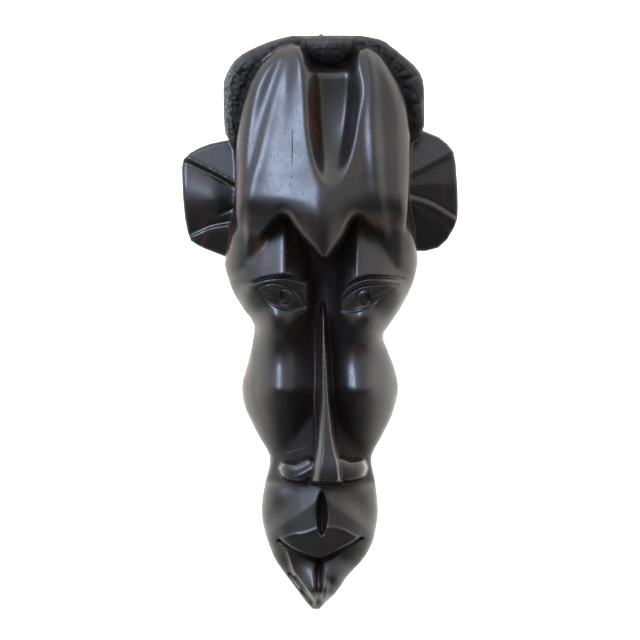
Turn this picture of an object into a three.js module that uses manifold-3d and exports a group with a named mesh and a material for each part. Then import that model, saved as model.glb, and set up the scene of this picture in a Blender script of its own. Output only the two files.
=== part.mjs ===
// Carved wooden wall mask with a brass triangle hanger screwed to its back.
//
// The mask is one block of timber: face, forehead lobes, hair, ears and beard are all cut from it, and
// its back is hollowed. The hanger is a folded strap, two screws, and a triangle of wire that swings in
// the strap's eye.
//
// Millimetres, +Z up. The face looks along -Y, the flat back lies on the plane Y = 0, and the origin is
// where a wall nail bears, inside the apex of the hanger ring. "Depth" is always a distance in front of
// the back plane.

import * as THREE from "three";
import { mergeVertices } from "three/addons/utils/BufferGeometryUtils.js";
import Module from "manifold-3d";

const wasm = await Module();
wasm.setup();

// -------------------------------------------------------------------------------------------------
// Driving dimensions
// -------------------------------------------------------------------------------------------------

const CROWN_TOP = -1; // the hair's upper edge, just under the ring's apex
const CHIN_TIP = -401; // the tip of the beard
const HAIR_DEPTH = 44;
const GAP = 0.3; // clearance kept between neighbouring pieces
const ROOT_DEPTH = 30; // the lobes and the nose are rooted this deep in the block

const HEAD_GRID = { rows: 88, columns: 34 };
const LOBE_GRID = { rows: 22, columns: 40 };

const RING = { wire: 0.9, height: 16, halfBase: 7.5, corner: 2.6, apex: 2.2, lean: 3 };
// The ring's base wire runs through the strap's eye here.
const PIVOT = { y: 2.35, z: RING.wire - RING.height };
const STRAP = { width: 9, thick: 0.9, length: 27, eyeOuter: 2.15, eyeInner: 1.25, standoff: GAP };
const SCREW = { shank: 1.4, head: 2.9, headHeight: 1.5, length: 13, slot: 0.7, spacing: 13, first: 8 };

// -------------------------------------------------------------------------------------------------
// Curves and solids
// -------------------------------------------------------------------------------------------------

const clamp = THREE.MathUtils.clamp;
const smoothstep = THREE.MathUtils.smoothstep;
const lerp = THREE.MathUtils.lerp;

// A smooth curve of value against position through [position, value] points. It doesn't overshoot, and
// it is flat past its ends.
function profile(points) {
  const p = [...points].sort((a, b) => a[0] - b[0]);
  const last = p.length - 1;
  const step = (i) => p[i + 1][0] - p[i][0];
  const chord = (i) => (p[i + 1][1] - p[i][1]) / step(i);
  const slopes = p.map((_, i) => {
    if (i === 0) return chord(0);
    if (i === last) return chord(last - 1);
    const before = chord(i - 1);
    const after = chord(i);
    if (before * after <= 0) return 0;
    const limit = 3 * Math.min(Math.abs(before), Math.abs(after));
    return clamp((step(i) * before + step(i - 1) * after) / (step(i) + step(i - 1)), -limit, limit);
  });
  return (at) => {
    const q = clamp(at, p[0][0], p[last][0]);
    const i = clamp(p.findIndex((k) => k[0] >= q) - 1, 0, last - 1);
    const h = step(i);
    const t = (q - p[i][0]) / h;
    const a = (2 * t ** 3 - 3 * t ** 2 + 1) * p[i][1] + (t ** 3 - 2 * t ** 2 + t) * h * slopes[i];
    return a + (3 * t ** 2 - 2 * t ** 3) * p[i + 1][1] + (t ** 3 - t ** 2) * h * slopes[i + 1];
  };
}

// Straight lines of value against position through [position, value] points.
function polyline(points) {
  const p = [...points].sort((a, b) => a[0] - b[0]);
  return (at) => {
    const q = clamp(at, p[0][0], p[p.length - 1][0]);
    const i = clamp(p.findIndex((k) => k[0] >= q) - 1, 0, p.length - 2);
    return lerp(p[i][1], p[i + 1][1], (q - p[i][0]) / (p[i + 1][0] - p[i][0]));
  };
}

// The larger of two depths, with the corner between them rounded over a width of about k.
function blendMax(a, b, k) {
  const h = clamp(0.5 + (0.5 * (a - b)) / k, 0, 1);
  return b + (a - b) * h + k * h * (1 - h);
}

// A smooth hill over an ellipse.
function hill(x, z, cx, cz, rx, rz, height) {
  return height * Math.exp(-1.2 * (((x - cx) / rx) ** 2 + ((z - cz) / rz) ** 2));
}

// How far a round of the given radius has fallen away at a distance in from its edge.
function edgeFall(distance, radius) {
  const t = clamp(1 - distance / radius, 0, 1);
  return radius * (1 - Math.sqrt(1 - t * t));
}

// Depth across the mask through [x, depth, bulge] nodes; the bulge swells the facet that follows its node.
function section(x, nodes) {
  if (x <= nodes[0][0]) return nodes[0][1];
  for (let i = 0; i + 1 < nodes.length; i++) {
    const [x0, d0, bulge] = nodes[i];
    const [x1, d1] = nodes[i + 1];
    if (x < x1) {
      const t = (x - x0) / (x1 - x0);
      return lerp(d0, d1, t) + bulge * 4 * t * (1 - t);
    }
  }
  return nodes[nodes.length - 1][1];
}

// The shortest distance from a point to a closed outline of [x, z] points.
function distanceToOutline(x, z, outline) {
  let best = Infinity;
  outline.forEach(([ax, az], i) => {
    const [bx, bz] = outline[(i + 1) % outline.length];
    const dx = bx - ax;
    const dz = bz - az;
    const t = clamp(((x - ax) * dx + (z - az) * dz) / (dx * dx + dz * dz), 0, 1);
    best = Math.min(best, Math.hypot(x - ax - t * dx, z - az - t * dz));
  });
  return best;
}

// A three.js geometry as a manifold-3d solid.
function solid(geometry) {
  const bare = geometry.index ? geometry.toNonIndexed() : geometry.clone();
  const positions = new THREE.BufferGeometry().setAttribute("position", bare.getAttribute("position"));
  const merged = mergeVertices(positions, 1e-3);
  return new wasm.Manifold(
    new wasm.Mesh({
      numProp: 3,
      vertProperties: merged.attributes.position.array,
      triVerts: new Uint32Array(merged.index.array),
    }),
  );
}

function geometryOf(manifold) {
  const mesh = manifold.getMesh();
  const geometry = new THREE.BufferGeometry();
  geometry.setAttribute("position", new THREE.BufferAttribute(new Float32Array(mesh.vertProperties), 3));
  geometry.setIndex(new THREE.BufferAttribute(new Uint32Array(mesh.triVerts), 1));
  geometry.computeVertexNormals();
  return geometry;
}

// A closed solid through rings of points, each ring the same length, with a fan over each end.
function loft(rings) {
  const n = rings[0].length;
  const points = rings.flat();
  const faces = [];
  for (let r = 0; r + 1 < rings.length; r++) {
    for (let i = 0; i < n; i++) {
      const j = (i + 1) % n;
      const a = r * n + i;
      const b = r * n + j;
      faces.push(a, a + n, b, b, a + n, b + n);
    }
  }
  const cap = (ring, first, flip) => {
    const centre = ring.reduce((s, p) => s.add(p), new THREE.Vector3()).divideScalar(n);
    points.push(centre);
    for (let i = 0; i < n; i++) {
      const j = (i + 1) % n;
      const tip = points.length - 1;
      faces.push(...(flip ? [tip, first + j, first + i] : [tip, first + i, first + j]));
    }
  };
  cap(rings[0], 0, false);
  cap(rings[rings.length - 1], (rings.length - 1) * n, true);
  const geometry = new THREE.BufferGeometry().setFromPoints(points);
  geometry.setIndex(faces);
  return geometry;
}

// A shape drawn in the Y-Z plane, pulled along X and centred on it.
function extrudeAcross(shape, width) {
  const geometry = new THREE.ExtrudeGeometry(shape, { depth: width, bevelEnabled: false, curveSegments: 12 });
  geometry.translate(0, 0, -width / 2);
  // The shape's own x becomes Y, its y becomes Z, and the extrusion runs along X.
  geometry.applyMatrix4(new THREE.Matrix4().set(0, 0, 1, 0, 1, 0, 0, 0, 0, 1, 0, 0, 0, 0, 0, 1));
  return geometry;
}

// -------------------------------------------------------------------------------------------------
// The outline of the block, seen from the front
// -------------------------------------------------------------------------------------------------

const leftEdge = profile([
  [-1, -20], [-3, -29], [-8, -43], [-14, -55], [-25, -64.5], [-36, -68], [-62, -67.5], [-70, -66.5],
  [-80, -60.5], [-146, -60], [-153, -63.5], [-159, -66], [-170, -63.7], [-182, -59.5], [-193, -53.2],
  [-199, -48.3], [-205, -46.2], [-210, -46.9], [-221, -49], [-232, -51.8], [-246, -55.2], [-260, -53.2],
  [-271, -48.3], [-283, -42], [-293, -36.2], [-298, -35.6], [-311, -38.5], [-322, -40.6], [-332, -41.4],
  [-344, -39.9], [-355.5, -36.4], [-367, -31.5], [-378, -23.8], [-389, -15.4], [-396, -10.5], [-401, -6],
]);
const rightEdge = profile([
  [-1, 28], [-3, 39], [-8, 48.3], [-14, 56], [-25, 67.9], [-38, 72], [-62, 72.2], [-68, 71], [-77, 62.5],
  [-145, 62.5], [-152, 64.5], [-159, 65.8], [-170.5, 63.7], [-182, 60.2], [-193, 54.6], [-204, 46.9],
  [-210.5, 43.3], [-221, 46.9], [-232, 51.1], [-247, 54.1], [-260, 51.8], [-271, 47.6], [-283, 41.3],
  [-293, 35.9], [-298, 35.2], [-311, 37.8], [-322, 39.2], [-332, 40], [-344, 38.5], [-355.5, 35.7],
  [-367, 28.7], [-378, 18.2], [-389, 10.5], [-396, 3.5], [-401, -1],
]);

const edgeRows = Array.from({ length: 101 }, (_, i) => lerp(CROWN_TOP, CHIN_TIP, i / 100));
const headOutline = [
  ...edgeRows.map((z) => [leftEdge(z), z]),
  ...edgeRows.map((z) => [rightEdge(z), z]).reverse(),
];

// -------------------------------------------------------------------------------------------------
// The forehead: two lobes that slope out and down to a prow between the eyes
// -------------------------------------------------------------------------------------------------

// The lobes' upper and lower edges, as height against x.
const lobeTop = polyline([
  [-59.6, -106], [-59, -84], [-57.3, -66], [-54.5, -50], [-50, -34], [-43, -21], [-35, -13], [-27, -8],
  [-20, -6.6], [-14.5, -8.6], [-9.5, -14], [-6.8, -18], [-4.8, -21.8], [2, -22.8], [12, -22.8],
  [18.6, -22], [21.5, -16], [27, -10.5], [34, -9.4],
  [41, -13.5], [47, -21], [53.5, -31], [58.3, -44], [60.8, -58], [62, -76], [62.3, -87],
]);
const lobeBottom = polyline([
  [-59.6, -106], [-58.6, -128], [-57, -146], [-55.5, -160], [-52, -168], [-46.9, -153.7], [-38.5, -137.2],
  [-30.5, -128.2], [-24.5, -126.3], [-17.5, -134.5], [-10, -144], [-2, -152.5], [3, -156], [8, -152],
  [15, -141.5], [22.5, -129], [28.5, -129.5], [39.9, -142.2], [46.5, -152.3], [54.6, -166], [57, -160],
  [59.5, -134], [60.5, -118], [62, -98], [62.3, -87],
]);

// How deep the forehead's middle is at each height.
const browSlope = profile([
  [-6, 57], [-14, 62], [-30, 70], [-60, 81], [-100, 96.5], [-118, 103], [-126, 104.5], [-138, 103.5],
  [-156, 98],
]);

const valleySet = profile([
  [-24, -12], [-45, -19], [-66, -21], [-85, -16], [-98, -7], [-107, -0.8], [-118, -0.6], [-156, -0.5],
]);

// The lines that part its facets, from left to right. "at" is where a line runs, and "set" is how far it
// lies behind the middle. "bulge" swells the facet to the line's right.
const BROW_LINES = [
  {
    name: "left edge",
    bulge: 1.5,
    at: profile([[-9, -30], [-30, -48], [-60, -57], [-106, -60], [-150, -57]]),
    set: profile([[-9, -10], [-60, -20], [-100, -24], [-118, -26], [-130, -32], [-145, -43], [-156, -52]]),
  },
  {
    name: "left flank",
    bulge: -0.5,
    at: profile([[-9, -25.5], [-26, -33], [-50, -41.5], [-72, -47], [-95, -52], [-125, -55]]),
    set: profile([
      [-9, -8.5], [-60, -13.5], [-103, -16.5], [-118, -19], [-130, -30], [-145, -42], [-156, -52],
    ]),
  },
  {
    name: "left groove",
    bulge: 0,
    at: profile([[-9, -23.5], [-40, -33.0], [-66, -40.0], [-87, -44.5], [-103, -49], [-125, -53]]),
    set: profile([
      [-9, -7.3], [-60, -10.8], [-103, -13.2], [-118, -16.5], [-130, -28], [-145, -39], [-156, -50],
    ]),
  },
  {
    name: "left ridge",
    bulge: -0.6,
    at: profile([[-9, -21.5], [-40, -30], [-66, -37], [-87, -41.5], [-103, -46.5], [-125, -51]]),
    set: profile([[-9, -6], [-60, -9], [-103, -12], [-118, -15], [-130, -24], [-145, -35], [-156, -46]]),
  },
  {
    name: "left facet",
    bulge: 0.3,
    at: profile([[-9, -20], [-40, -22], [-103, -27], [-125, -28], [-156, -22]]),
    set: profile([[-9, -4], [-60, -5.5], [-103, -7.2], [-118, -9], [-130, -14], [-156, -20]]),
  },
  {
    name: "left lobe's crest",
    bulge: 1.5,
    at: profile([[-24, -13.5], [-45, -10.5], [-66, -9], [-87, -5.5], [-104, -1.7], [-125, -3], [-156, 2]]),
    set: profile([[-8, 0], [-155, 0]]),
  },
  {
    name: "valley's left side",
    bulge: 0.6,
    at: profile([[-24, -0.7], [-66, 0], [-90, 2], [-106, 3.5], [-155, 3.2]]),
    set: valleySet,
  },
  {
    name: "valley's right side",
    bulge: 1.0,
    at: profile([[-24, 18.9], [-66, 16.5], [-90, 11.5], [-106, 5], [-155, 3.4]]),
    set: valleySet,
  },
  {
    name: "right lobe's inner ridge",
    bulge: -1.0,
    at: profile([
      [-16, 26], [-37, 30], [-60, 26], [-77, 23], [-101, 16], [-115, 9], [-130, 6], [-155, 3.6],
    ]),
    set: profile([[-8, -2], [-60, -2.5], [-101, -2], [-125, -1.5], [-156, -1]]),
  },
  {
    name: "right groove",
    bulge: 0,
    at: profile([[-15, 31.5], [-38, 32.5], [-58, 32.3], [-80, 33], [-100, 34], [-127, 37], [-140, 41]]),
    set: profile([[-8, -5], [-58, -6], [-100, -10.5], [-118, -14], [-130, -24], [-145, -36], [-156, -48]]),
  },
  {
    name: "right ridge",
    bulge: 0,
    at: profile([[-15, 33.5], [-38, 35.7], [-58, 35.7], [-80, 37], [-100, 38.5], [-127, 42], [-140, 46]]),
    set: profile([[-8, -3], [-58, -2.8], [-100, -7], [-118, -13], [-130, -23], [-145, -35], [-156, -47]]),
  },
  {
    name: "right flank",
    bulge: 1.5,
    at: profile([[-15, 38], [-38, 42], [-58, 43], [-80, 44], [-100, 45], [-127, 48], [-140, 50]]),
    set: profile([[-8, -7], [-58, -9], [-100, -13], [-118, -18], [-130, -28], [-145, -41], [-156, -51]]),
  },
  {
    name: "right edge",
    bulge: 0,
    at: profile([[-9, 42], [-30, 53], [-60, 61], [-100, 62], [-150, 59]]),
    set: profile([[-9, -10], [-60, -20], [-100, -24], [-118, -26], [-130, -32], [-145, -43], [-156, -52]]),
  },
];

function lobeDepth(x, z) {
  const nodes = BROW_LINES.map((line) => [line.at(z), line.set(z), line.bulge]);
  return browSlope(z) + section(x, nodes);
}

// The lobes' edges round over broadly at the crown and above the lids, and tightly along the prow.
function lobeRadius(x, z) {
  const base = lerp(4.5, 9, smoothstep(z, -128, -100));
  return base + 4.5 * Math.exp(-(((Math.abs(x + 0.5) - 26) / 8) ** 2)) * smoothstep(-z, 108, 122);
}

// -------------------------------------------------------------------------------------------------
// The face
// -------------------------------------------------------------------------------------------------

// How deep the face is beside the nose, from the crown down.
const faceDepth = profile([
  [-40, 44], [-68, 44], [-82, 36], [-128, 42], [-146, 58], [-160, 60], [-190, 57], [-205, 52], [-245, 50],
  [-285, 46], [-302, 45], [-308, 50], [-316, 64], [-330, 68], [-350, 67], [-368, 60], [-384, 50],
  [CHIN_TIP, 40],
]);
// How broadly the block's sides round over.
const sideRadius = profile([
  [-60, 7], [-90, 8], [-140, 16], [-160, 24], [-200, 24], [-245, 30], [-300, 22], [-330, 28], [-380, 14],
  [CHIN_TIP, 6],
]);

// Each lid is a tent from an apex under the brow down to a crease over the eye. Each eye swells a little
// between two lids and leans back below the crease.
const EYES = [
  {
    outer: -1,
    apex: [-25.5, -125],
    centre: [-27, -182],
    pupil: [-27, -182.4],
    crease: [[-46.7, -172.6], [-37.8, -169.7], [-24.5, -168.4], [-12.7, -170.8]],
    upper: [[-44.5, -176.8], [-36, -173.5], [-28, -173.9], [-19, -177.9], [-13.7, -183.3],
      [-10.9, -189.6]],
    lower: [[-44.5, -176.8], [-40.4, -181.5], [-35.1, -186.8], [-28.9, -190], [-20.8, -191.7],
      [-10.9, -189.6]],
  },
  {
    outer: 1,
    apex: [25.5, -127],
    centre: [31, -183],
    pupil: [32.4, -183.3],
    crease: [[57, -170.3], [44.4, -169.1], [31, -169.1], [22.1, -172.6], [14.9, -177.9], [10.5, -185.1]],
    upper: [[53.8, -174.6], [39.9, -174.2], [29.3, -175.7], [20.3, -180.2], [13.2, -186.8], [11.5, -191.5]],
    lower: [[53.8, -174.6], [42.7, -182.4], [32.9, -189.6], [21.7, -193], [11.5, -191.5]],
  },
];

function eyeDepth(x, z, depth, eye) {
  const [ax, az] = eye.apex;
  const u = eye.outer * (x - ax);
  const side = (u > 0 ? 0.55 : 1.15) * (Math.hypot(u, 1.5) - 1.5);
  const line = polyline(eye.crease)(x);
  const [cx, cz] = eye.centre;
  const inward = -eye.outer * (x - cx);
  const inside = 26 * smoothstep(inward, 14, 26) * smoothstep(-z, 156, 174);
  const lid = Math.min(68 - side + 0.4 * (az - z), 68 - 3 * (z - az - 4)) - inside;
  const withLid = lerp(depth, blendMax(depth, lid, 1.5), smoothstep(z - line, -1.5, 1));
  const reach = Math.hypot((x - cx) / 26, (z - cz + 1) / 16);
  const edge = 9 * smoothstep(reach, 0.85, 1.5) + 26 * smoothstep(inward, 17, 28);
  const ball = 82 - 0.36 * (-168 - z) - 0.008 * (x - cx) ** 2 - edge;
  return lerp(withLid, blendMax(withLid, ball, 6), smoothstep(line - z, -1, 1.5));
}

const MOUTH = [
  [-29.4, -352.2], [-16.6, -360.3], [-3.8, -365.2], [1.5, -365.1], [11.5, -360.3], [28.4, -350.6],
];
const LIP_BORDER = [
  [-27, -351], [-19, -348], [-13, -347.3], [-7, -345.5], [-1.4, -343], [4.2, -343], [10, -343.2],
  [16, -345], [21, -347.8], [26, -350.5],
];
const chinSlope = profile([
  [-340, 77], [-352, 74], [-364, 68], [-376, 61.5], [-388, 55.5], [CHIN_TIP, 45],
]);
const mouthLine = polyline(MOUTH);
const lipBorder = polyline(LIP_BORDER);

function muzzleDepth(x, z) {
  const d = Math.abs(x - 0.7);
  // The upper lip's roof has two facets that rise to a diagonal fold, then stand nearly upright down to
  // the lip's border.
  const fold = -321.5 - 0.72 * d;
  const roof = 80.5 - 0.03 * d - 0.38 * Math.max(z - fold, 0) + 0.04 * Math.max(fold - z, 0);
  const upper = roof - 0.24 * Math.max(lipBorder(x) - z, 0);
  // The chin has two lobes parted by a groove, and it falls away to the tip of the beard.
  const left = 17 * Math.exp(-(((x - 1) / 19) ** 2) - ((z + 388) / 15) ** 2);
  const right = 14 * Math.exp(-(((x - 9) / 14) ** 2) - ((z + 381) / 15) ** 2);
  const chin = chinSlope(z) + blendMax(left, right, 2) - 7 * smoothstep(-z, 388, 399);
  return lerp(upper, chin, smoothstep(mouthLine(x) - z, -4, 5));
}

function hairDepth(x, z) {
  const lock = 1 - ((x - 6) / 17) ** 2 - ((z + 6) / 15.5) ** 2;
  return HAIR_DEPTH + 2 + 13 * Math.sqrt(Math.max(lock, 0));
}

function headDepth(x, z) {
  let depth = faceDepth(z);
  for (const way of [-1, 1]) {
    depth += hill(x, z, way * 54, -150, 19, 30, 9); // temple
    depth += hill(x, z, way * 28, -246, 25, 58, 18) + hill(x, z, way * 26, -247, 30, 10, 5.5); // cheek
    depth += hill(x, z, way * 31, -199, 20, 17, 17); // under the eye
  }
  for (const eye of EYES) depth = eyeDepth(x, z, depth, eye);
  depth -= hill(x, z, 2, -172, 11, 22, 9); // between the eyes
  depth = blendMax(depth, muzzleDepth(x, z), 3);
  return lerp(depth, hairDepth(x, z), smoothstep(z, -84, -72));
}

// -------------------------------------------------------------------------------------------------
// The timber
// -------------------------------------------------------------------------------------------------

// Sine spacing, from -1 to 1, gathers the columns at the edges where the surface turns back.
const spread = (i, count) => Math.sin((Math.PI / 2) * ((2 * i) / count - 1));

// The block is drawn row by row across its outline.
function blockGeometry() {
  const rings = [];
  for (let r = 0; r <= HEAD_GRID.rows; r++) {
    const z = lerp(CROWN_TOP, CHIN_TIP, r / HEAD_GRID.rows);
    const mid = (leftEdge(z) + rightEdge(z)) / 2;
    const half = (rightEdge(z) - leftEdge(z)) / 2;
    const ring = [new THREE.Vector3(mid - half, 0, z)];
    for (let c = 0; c <= HEAD_GRID.columns; c++) {
      const x = mid + half * spread(c, HEAD_GRID.columns);
      const fall = edgeFall(distanceToOutline(x, z, headOutline), sideRadius(z));
      ring.push(new THREE.Vector3(x, fall - headDepth(x, z), z));
    }
    ring.push(new THREE.Vector3(mid + half, 0, z));
    rings.push(ring);
  }
  return loft(rings);
}

// The lobes are drawn column by column, because their lower edge is a zigzag over the two lids.
function lobesGeometry() {
  const { rows, columns } = LOBE_GRID;
  const [from, to] = [-59.4, 62.1];
  const xs = Array.from({ length: columns + 1 }, (_, c) => lerp(from, to, c / columns));
  const outline = [...xs.map((x) => [x, lobeTop(x)]), ...xs.map((x) => [x, lobeBottom(x)]).reverse()];
  const rings = xs.map((x) => {
    const mid = (lobeTop(x) + lobeBottom(x)) / 2;
    const half = (lobeTop(x) - lobeBottom(x)) / 2;
    const ring = [new THREE.Vector3(x, -ROOT_DEPTH, mid - half)];
    for (let r = 0; r <= rows; r++) {
      const z = mid + half * spread(r, rows);
      const fall = edgeFall(distanceToOutline(x, z, outline), lobeRadius(x, z));
      ring.push(new THREE.Vector3(x, fall - lobeDepth(x, z), z));
    }
    ring.push(new THREE.Vector3(x, -ROOT_DEPTH, mid + half));
    return ring;
  });
  return loft(rings);
}

// The nose has a rounded left flank, a thin ridge, a slim front facet, a second edge and a steep right flank.
const NOSE = {
  rows: 26,
  depth: profile([
    [-182, 30], [-187, 60], [-192, 70], [-205, 78], [-250, 90], [-290, 99], [-304, 102], [-312, 101],
  ]),
  leftFoot: profile([[-188, 0.8], [-210, -0.2], [-245, -1.6], [-287, -3.4], [-299, -5], [-311, -7.5]]),
  leftRidge: profile([[-188, 1.3], [-245, 1.7], [-266, 2], [-287, 1.6], [-299, 0.2], [-311, -1.2]]),
  rightRidge: profile([
    [-188, 1.8], [-210, 3], [-245, 5], [-266, 6.4], [-287, 8.8], [-299, 11.4], [-311, 12.6],
  ]),
  rightFoot: profile([
    [-188, 2.2], [-210, 4], [-245, 6.1], [-266, 7.6], [-287, 10.2], [-299, 13.2], [-311, 14.6],
  ]),
};

function noseGeometry() {
  const rings = [];
  for (let r = 0; r <= NOSE.rows; r++) {
    const z = lerp(-186, -311.5, r / NOSE.rows);
    const deep = NOSE.depth(z);
    const flank = lerp(8, 12, smoothstep(-z, 195, 240));
    const left = NOSE.leftFoot(z);
    const right = NOSE.rightFoot(z);
    rings.push(
      [
        [left - 2, ROOT_DEPTH],
        [left - 2, Math.max(deep - flank - 30, ROOT_DEPTH + 1)],
        [left, deep - flank],
        [lerp(left, NOSE.leftRidge(z), 0.5), deep - flank / 2 + 1.2],
        [NOSE.leftRidge(z), deep],
        [NOSE.rightRidge(z), deep - 1.2],
        [right - 0.6, deep - 8],
        [right + 1.4, Math.max(deep - 38, ROOT_DEPTH + 1)],
        [right + 1.4, ROOT_DEPTH],
      ].map(([x, d]) => new THREE.Vector3(x, -d, z)),
    );
  }
  return loft(rings);
}

// Each wing of the nostrils is a lens that reaches out sideways from the nose's tip.
const NOSTRILS = [
  {
    from: -6,
    outline: [
      [-28.6, -302.6], [-25.5, -298.2], [-17, -298.2], [-8, -294.5], [-2, -301], [-6, -310.3],
      [-17, -311.5], [-25.5, -309],
    ],
    hole: [-7.8, -310],
  },
  {
    from: 10,
    outline: [
      [31.8, -302.5], [29, -308.5], [20, -311], [9, -310], [6, -300], [12, -294], [20, -296.8],
      [29, -296.8],
    ],
    hole: [13.8, -310],
  },
];

function nostrilGeometry({ from, outline }) {
  const corners = [...outline, outline[0]].map(([x, z]) => new THREE.Vector2(x, z));
  const points = new THREE.SplineCurve(corners).getPoints(32).slice(0, -1);
  const centre = points.reduce((s, p) => s.add(p), new THREE.Vector2()).divideScalar(points.length);
  const ring = (scale, drop) =>
    points.map((p) => {
      const q = p.clone().sub(centre).multiplyScalar(scale).add(centre);
      return new THREE.Vector3(q.x, -(82 - 0.26 * Math.abs(q.x - from) - drop), q.y);
    });
  const rooted = points.map((p) => new THREE.Vector3(p.x, -48, p.y));
  return loft([rooted, ring(1, 5), ring(0.85, 2.2), ring(0.6, 0.7), ring(0.25, 0)]);
}

// An ear stands back from its root to its rim. Two cuts run out to its corners and part it into three facets.
const EARS = [
  {
    way: -1,
    rim: 97,
    top: polyline([
      [50, -76], [62, -73.5], [68, -74.3], [77.6, -76.4], [85, -79.2], [91.4, -82.8], [96, -87.3],
      [97.2, -95],
    ]),
    bottom: polyline([
      [50, -158], [66.3, -155.6], [80.8, -150], [86, -147.5], [90.8, -144.3], [93, -138.7],
      [95, -128.6], [97.2, -113],
    ]),
    upperCut: polyline([[59.5, -106.1], [78, -96.2], [94, -88], [97, -95]]),
    lowerCut: polyline([[59.5, -131.2], [74.5, -133.4], [84, -137.4], [91.4, -141], [95, -127], [97, -112]]),
  },
  {
    way: 1,
    rim: 95.8,
    top: polyline([
      [50, -66], [62, -64], [71.8, -67.3], [82.6, -71.8], [88.3, -76.4], [92.8, -82], [94.3, -90],
      [95.9, -107],
    ]),
    bottom: polyline([
      [50, -148], [67, -151.5], [73.3, -151.6], [82, -149.3], [88.3, -143.6], [93.4, -134.8],
      [95.5, -128.6], [95.9, -124],
    ]),
    upperCut: polyline([[61, -99], [72, -94], [83, -88], [93, -84], [95.8, -108]]),
    lowerCut: polyline([[61, -112.5], [75.4, -117], [84, -121.5], [95, -127], [95.8, -123]]),
  },
];
const EAR_BACK = 8; // how far the ears stand off the wall
const EAR_STATIONS = [52, 60, 68, 76, 82, 87, 91, 94];

function earGeometry({ way, rim, top, bottom, upperCut, lowerCut }) {
  const rings = [...EAR_STATIONS, rim].map((u) => {
    const [high, low] = [top(u), bottom(u)];
    const upper = clamp(upperCut(u), low + 3, high - 1);
    const lower = clamp(lowerCut(u), low + 1, upper - 1);
    const front = 37 - 0.2 * (u - 60);
    const lip = Math.min(2.5, (high - low) / 6);
    const cut = (z, d) => new THREE.Vector3(way * u, -d, z);
    return [
      cut(low, EAR_BACK),
      cut(low, front - 0.45 * (lower - low) - 2),
      cut(lerp(low, lower, 0.12), front - 0.4 * (lower - low)),
      cut(lower, front),
      cut(lower + lip * 0.3, front - 2.6),
      cut((lower + upper) / 2, front - 1.4),
      cut(upper - lip * 0.3, front - 2.6),
      cut(upper, front),
      cut(lerp(high, upper, 0.12), front - 0.3 * (high - upper)),
      cut(high, front - 0.34 * (high - upper) - 2),
      cut(high, EAR_BACK),
    ];
  });
  return loft(way > 0 ? rings : rings.reverse());
}

// A round cut that follows the carved surface through [x, z] points.
function scribe(points, radius, steps) {
  const path = new THREE.CatmullRomCurve3(points.map(([x, z]) => new THREE.Vector3(x, -headDepth(x, z), z)));
  const rings = path.getPoints(steps).map((centre, i) => {
    const along = path.getTangent(i / steps);
    const out = new THREE.Vector3(0, 1, 0).cross(along).normalize();
    const deep = along.clone().cross(out);
    return Array.from({ length: 6 }, (_, k) => {
      const a = (-k * Math.PI) / 3;
      const point = centre.clone().addScaledVector(out, radius * Math.cos(a));
      return point.addScaledVector(deep, radius * Math.sin(a));
    });
  });
  return loft(rings);
}

function pit([x, z], radii) {
  const ball = new THREE.SphereGeometry(1, 12, 8).scale(...radii);
  return ball.translate(x, -headDepth(x, z), z);
}

function faceCuts() {
  const cuts = [scribe(MOUTH, 1.8, 20)];
  for (const eye of EYES) {
    cuts.push(scribe(eye.upper, 0.7, 12), scribe(eye.lower, 0.7, 12), pit(eye.pupil, [1.8, 2.2, 3.4]));
  }
  const cleft = new THREE.SphereGeometry(1, 14, 10).scale(4.2, 8, 12.5).translate(0.7, -81.5, -333);
  const chinGroove = new THREE.CapsuleGeometry(1.6, 24, 3, 8);
  chinGroove.rotateX(Math.PI / 2 - 1.25).translate(-1.5, -76, -378);
  cuts.push(cleft, chinGroove);
  for (const { hole } of NOSTRILS) {
    cuts.push(new THREE.SphereGeometry(1, 10, 8).scale(2, 4, 1.6).translate(hole[0], -77, hole[1]));
  }
  return cuts;
}

// The back is gouged out, leaving a rim that lies on the wall and a thick bridge under the crown for the
// hanger.
const HOLLOW = {
  top: -50,
  bottom: -342,
  rim: 15,
  rows: 26,
  columns: 18,
  depth: profile([[-50, 26], [-90, 36], [-150, 37], [-250, 36], [-320, 33], [-342, 22]]),
};

function hollowGeometry() {
  const rings = [];
  for (let r = 0; r <= HOLLOW.rows; r++) {
    const t = r / HOLLOW.rows;
    const z = lerp(HOLLOW.top, HOLLOW.bottom, t);
    const ends = Math.sqrt(1 - Math.min(Math.abs(2 * t - 1), 0.995) ** 12);
    const left = (Math.max(leftEdge(z), -64) + HOLLOW.rim) * ends;
    const right = (Math.min(rightEdge(z), 64) - HOLLOW.rim) * ends;
    const ring = [];
    for (let c = 0; c <= HOLLOW.columns; c++) {
      const a = (Math.PI * c) / HOLLOW.columns;
      const x = (left + right) / 2 - ((right - left) / 2) * Math.cos(a);
      ring.push(new THREE.Vector3(x, -HOLLOW.depth(z) * ends * Math.sin(a) ** 0.4, z));
    }
    // The cutter stands proud of the back, so that it leaves the hollow open.
    ring.push(new THREE.Vector3(right, 5, z), new THREE.Vector3(left, 5, z));
    rings.push(ring);
  }
  return loft(rings);
}

const screwHeights = [0, 1].map((i) => PIVOT.z - SCREW.first - i * SCREW.spacing);

// A straight round bore or shank along Y, from one depth to another.
function rod(radius, from, to, z, sides = 20) {
  const geometry = new THREE.CylinderGeometry(radius, radius, Math.abs(to - from), sides);
  return geometry.translate(0, (from + to) / 2, z);
}

function maskGeometry() {
  let timber = solid(blockGeometry()).add(solid(lobesGeometry())).add(solid(noseGeometry()));
  for (const wing of NOSTRILS) timber = timber.add(solid(nostrilGeometry(wing)));
  for (const ear of EARS) timber = timber.add(solid(earGeometry(ear)));
  for (const cut of faceCuts()) timber = timber.subtract(solid(cut));
  timber = timber.subtract(solid(hollowGeometry()));
  for (const z of screwHeights) {
    timber = timber.subtract(solid(rod(SCREW.shank + GAP, -SCREW.length, 2, z)));
  }
  return geometryOf(timber);
}

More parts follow.
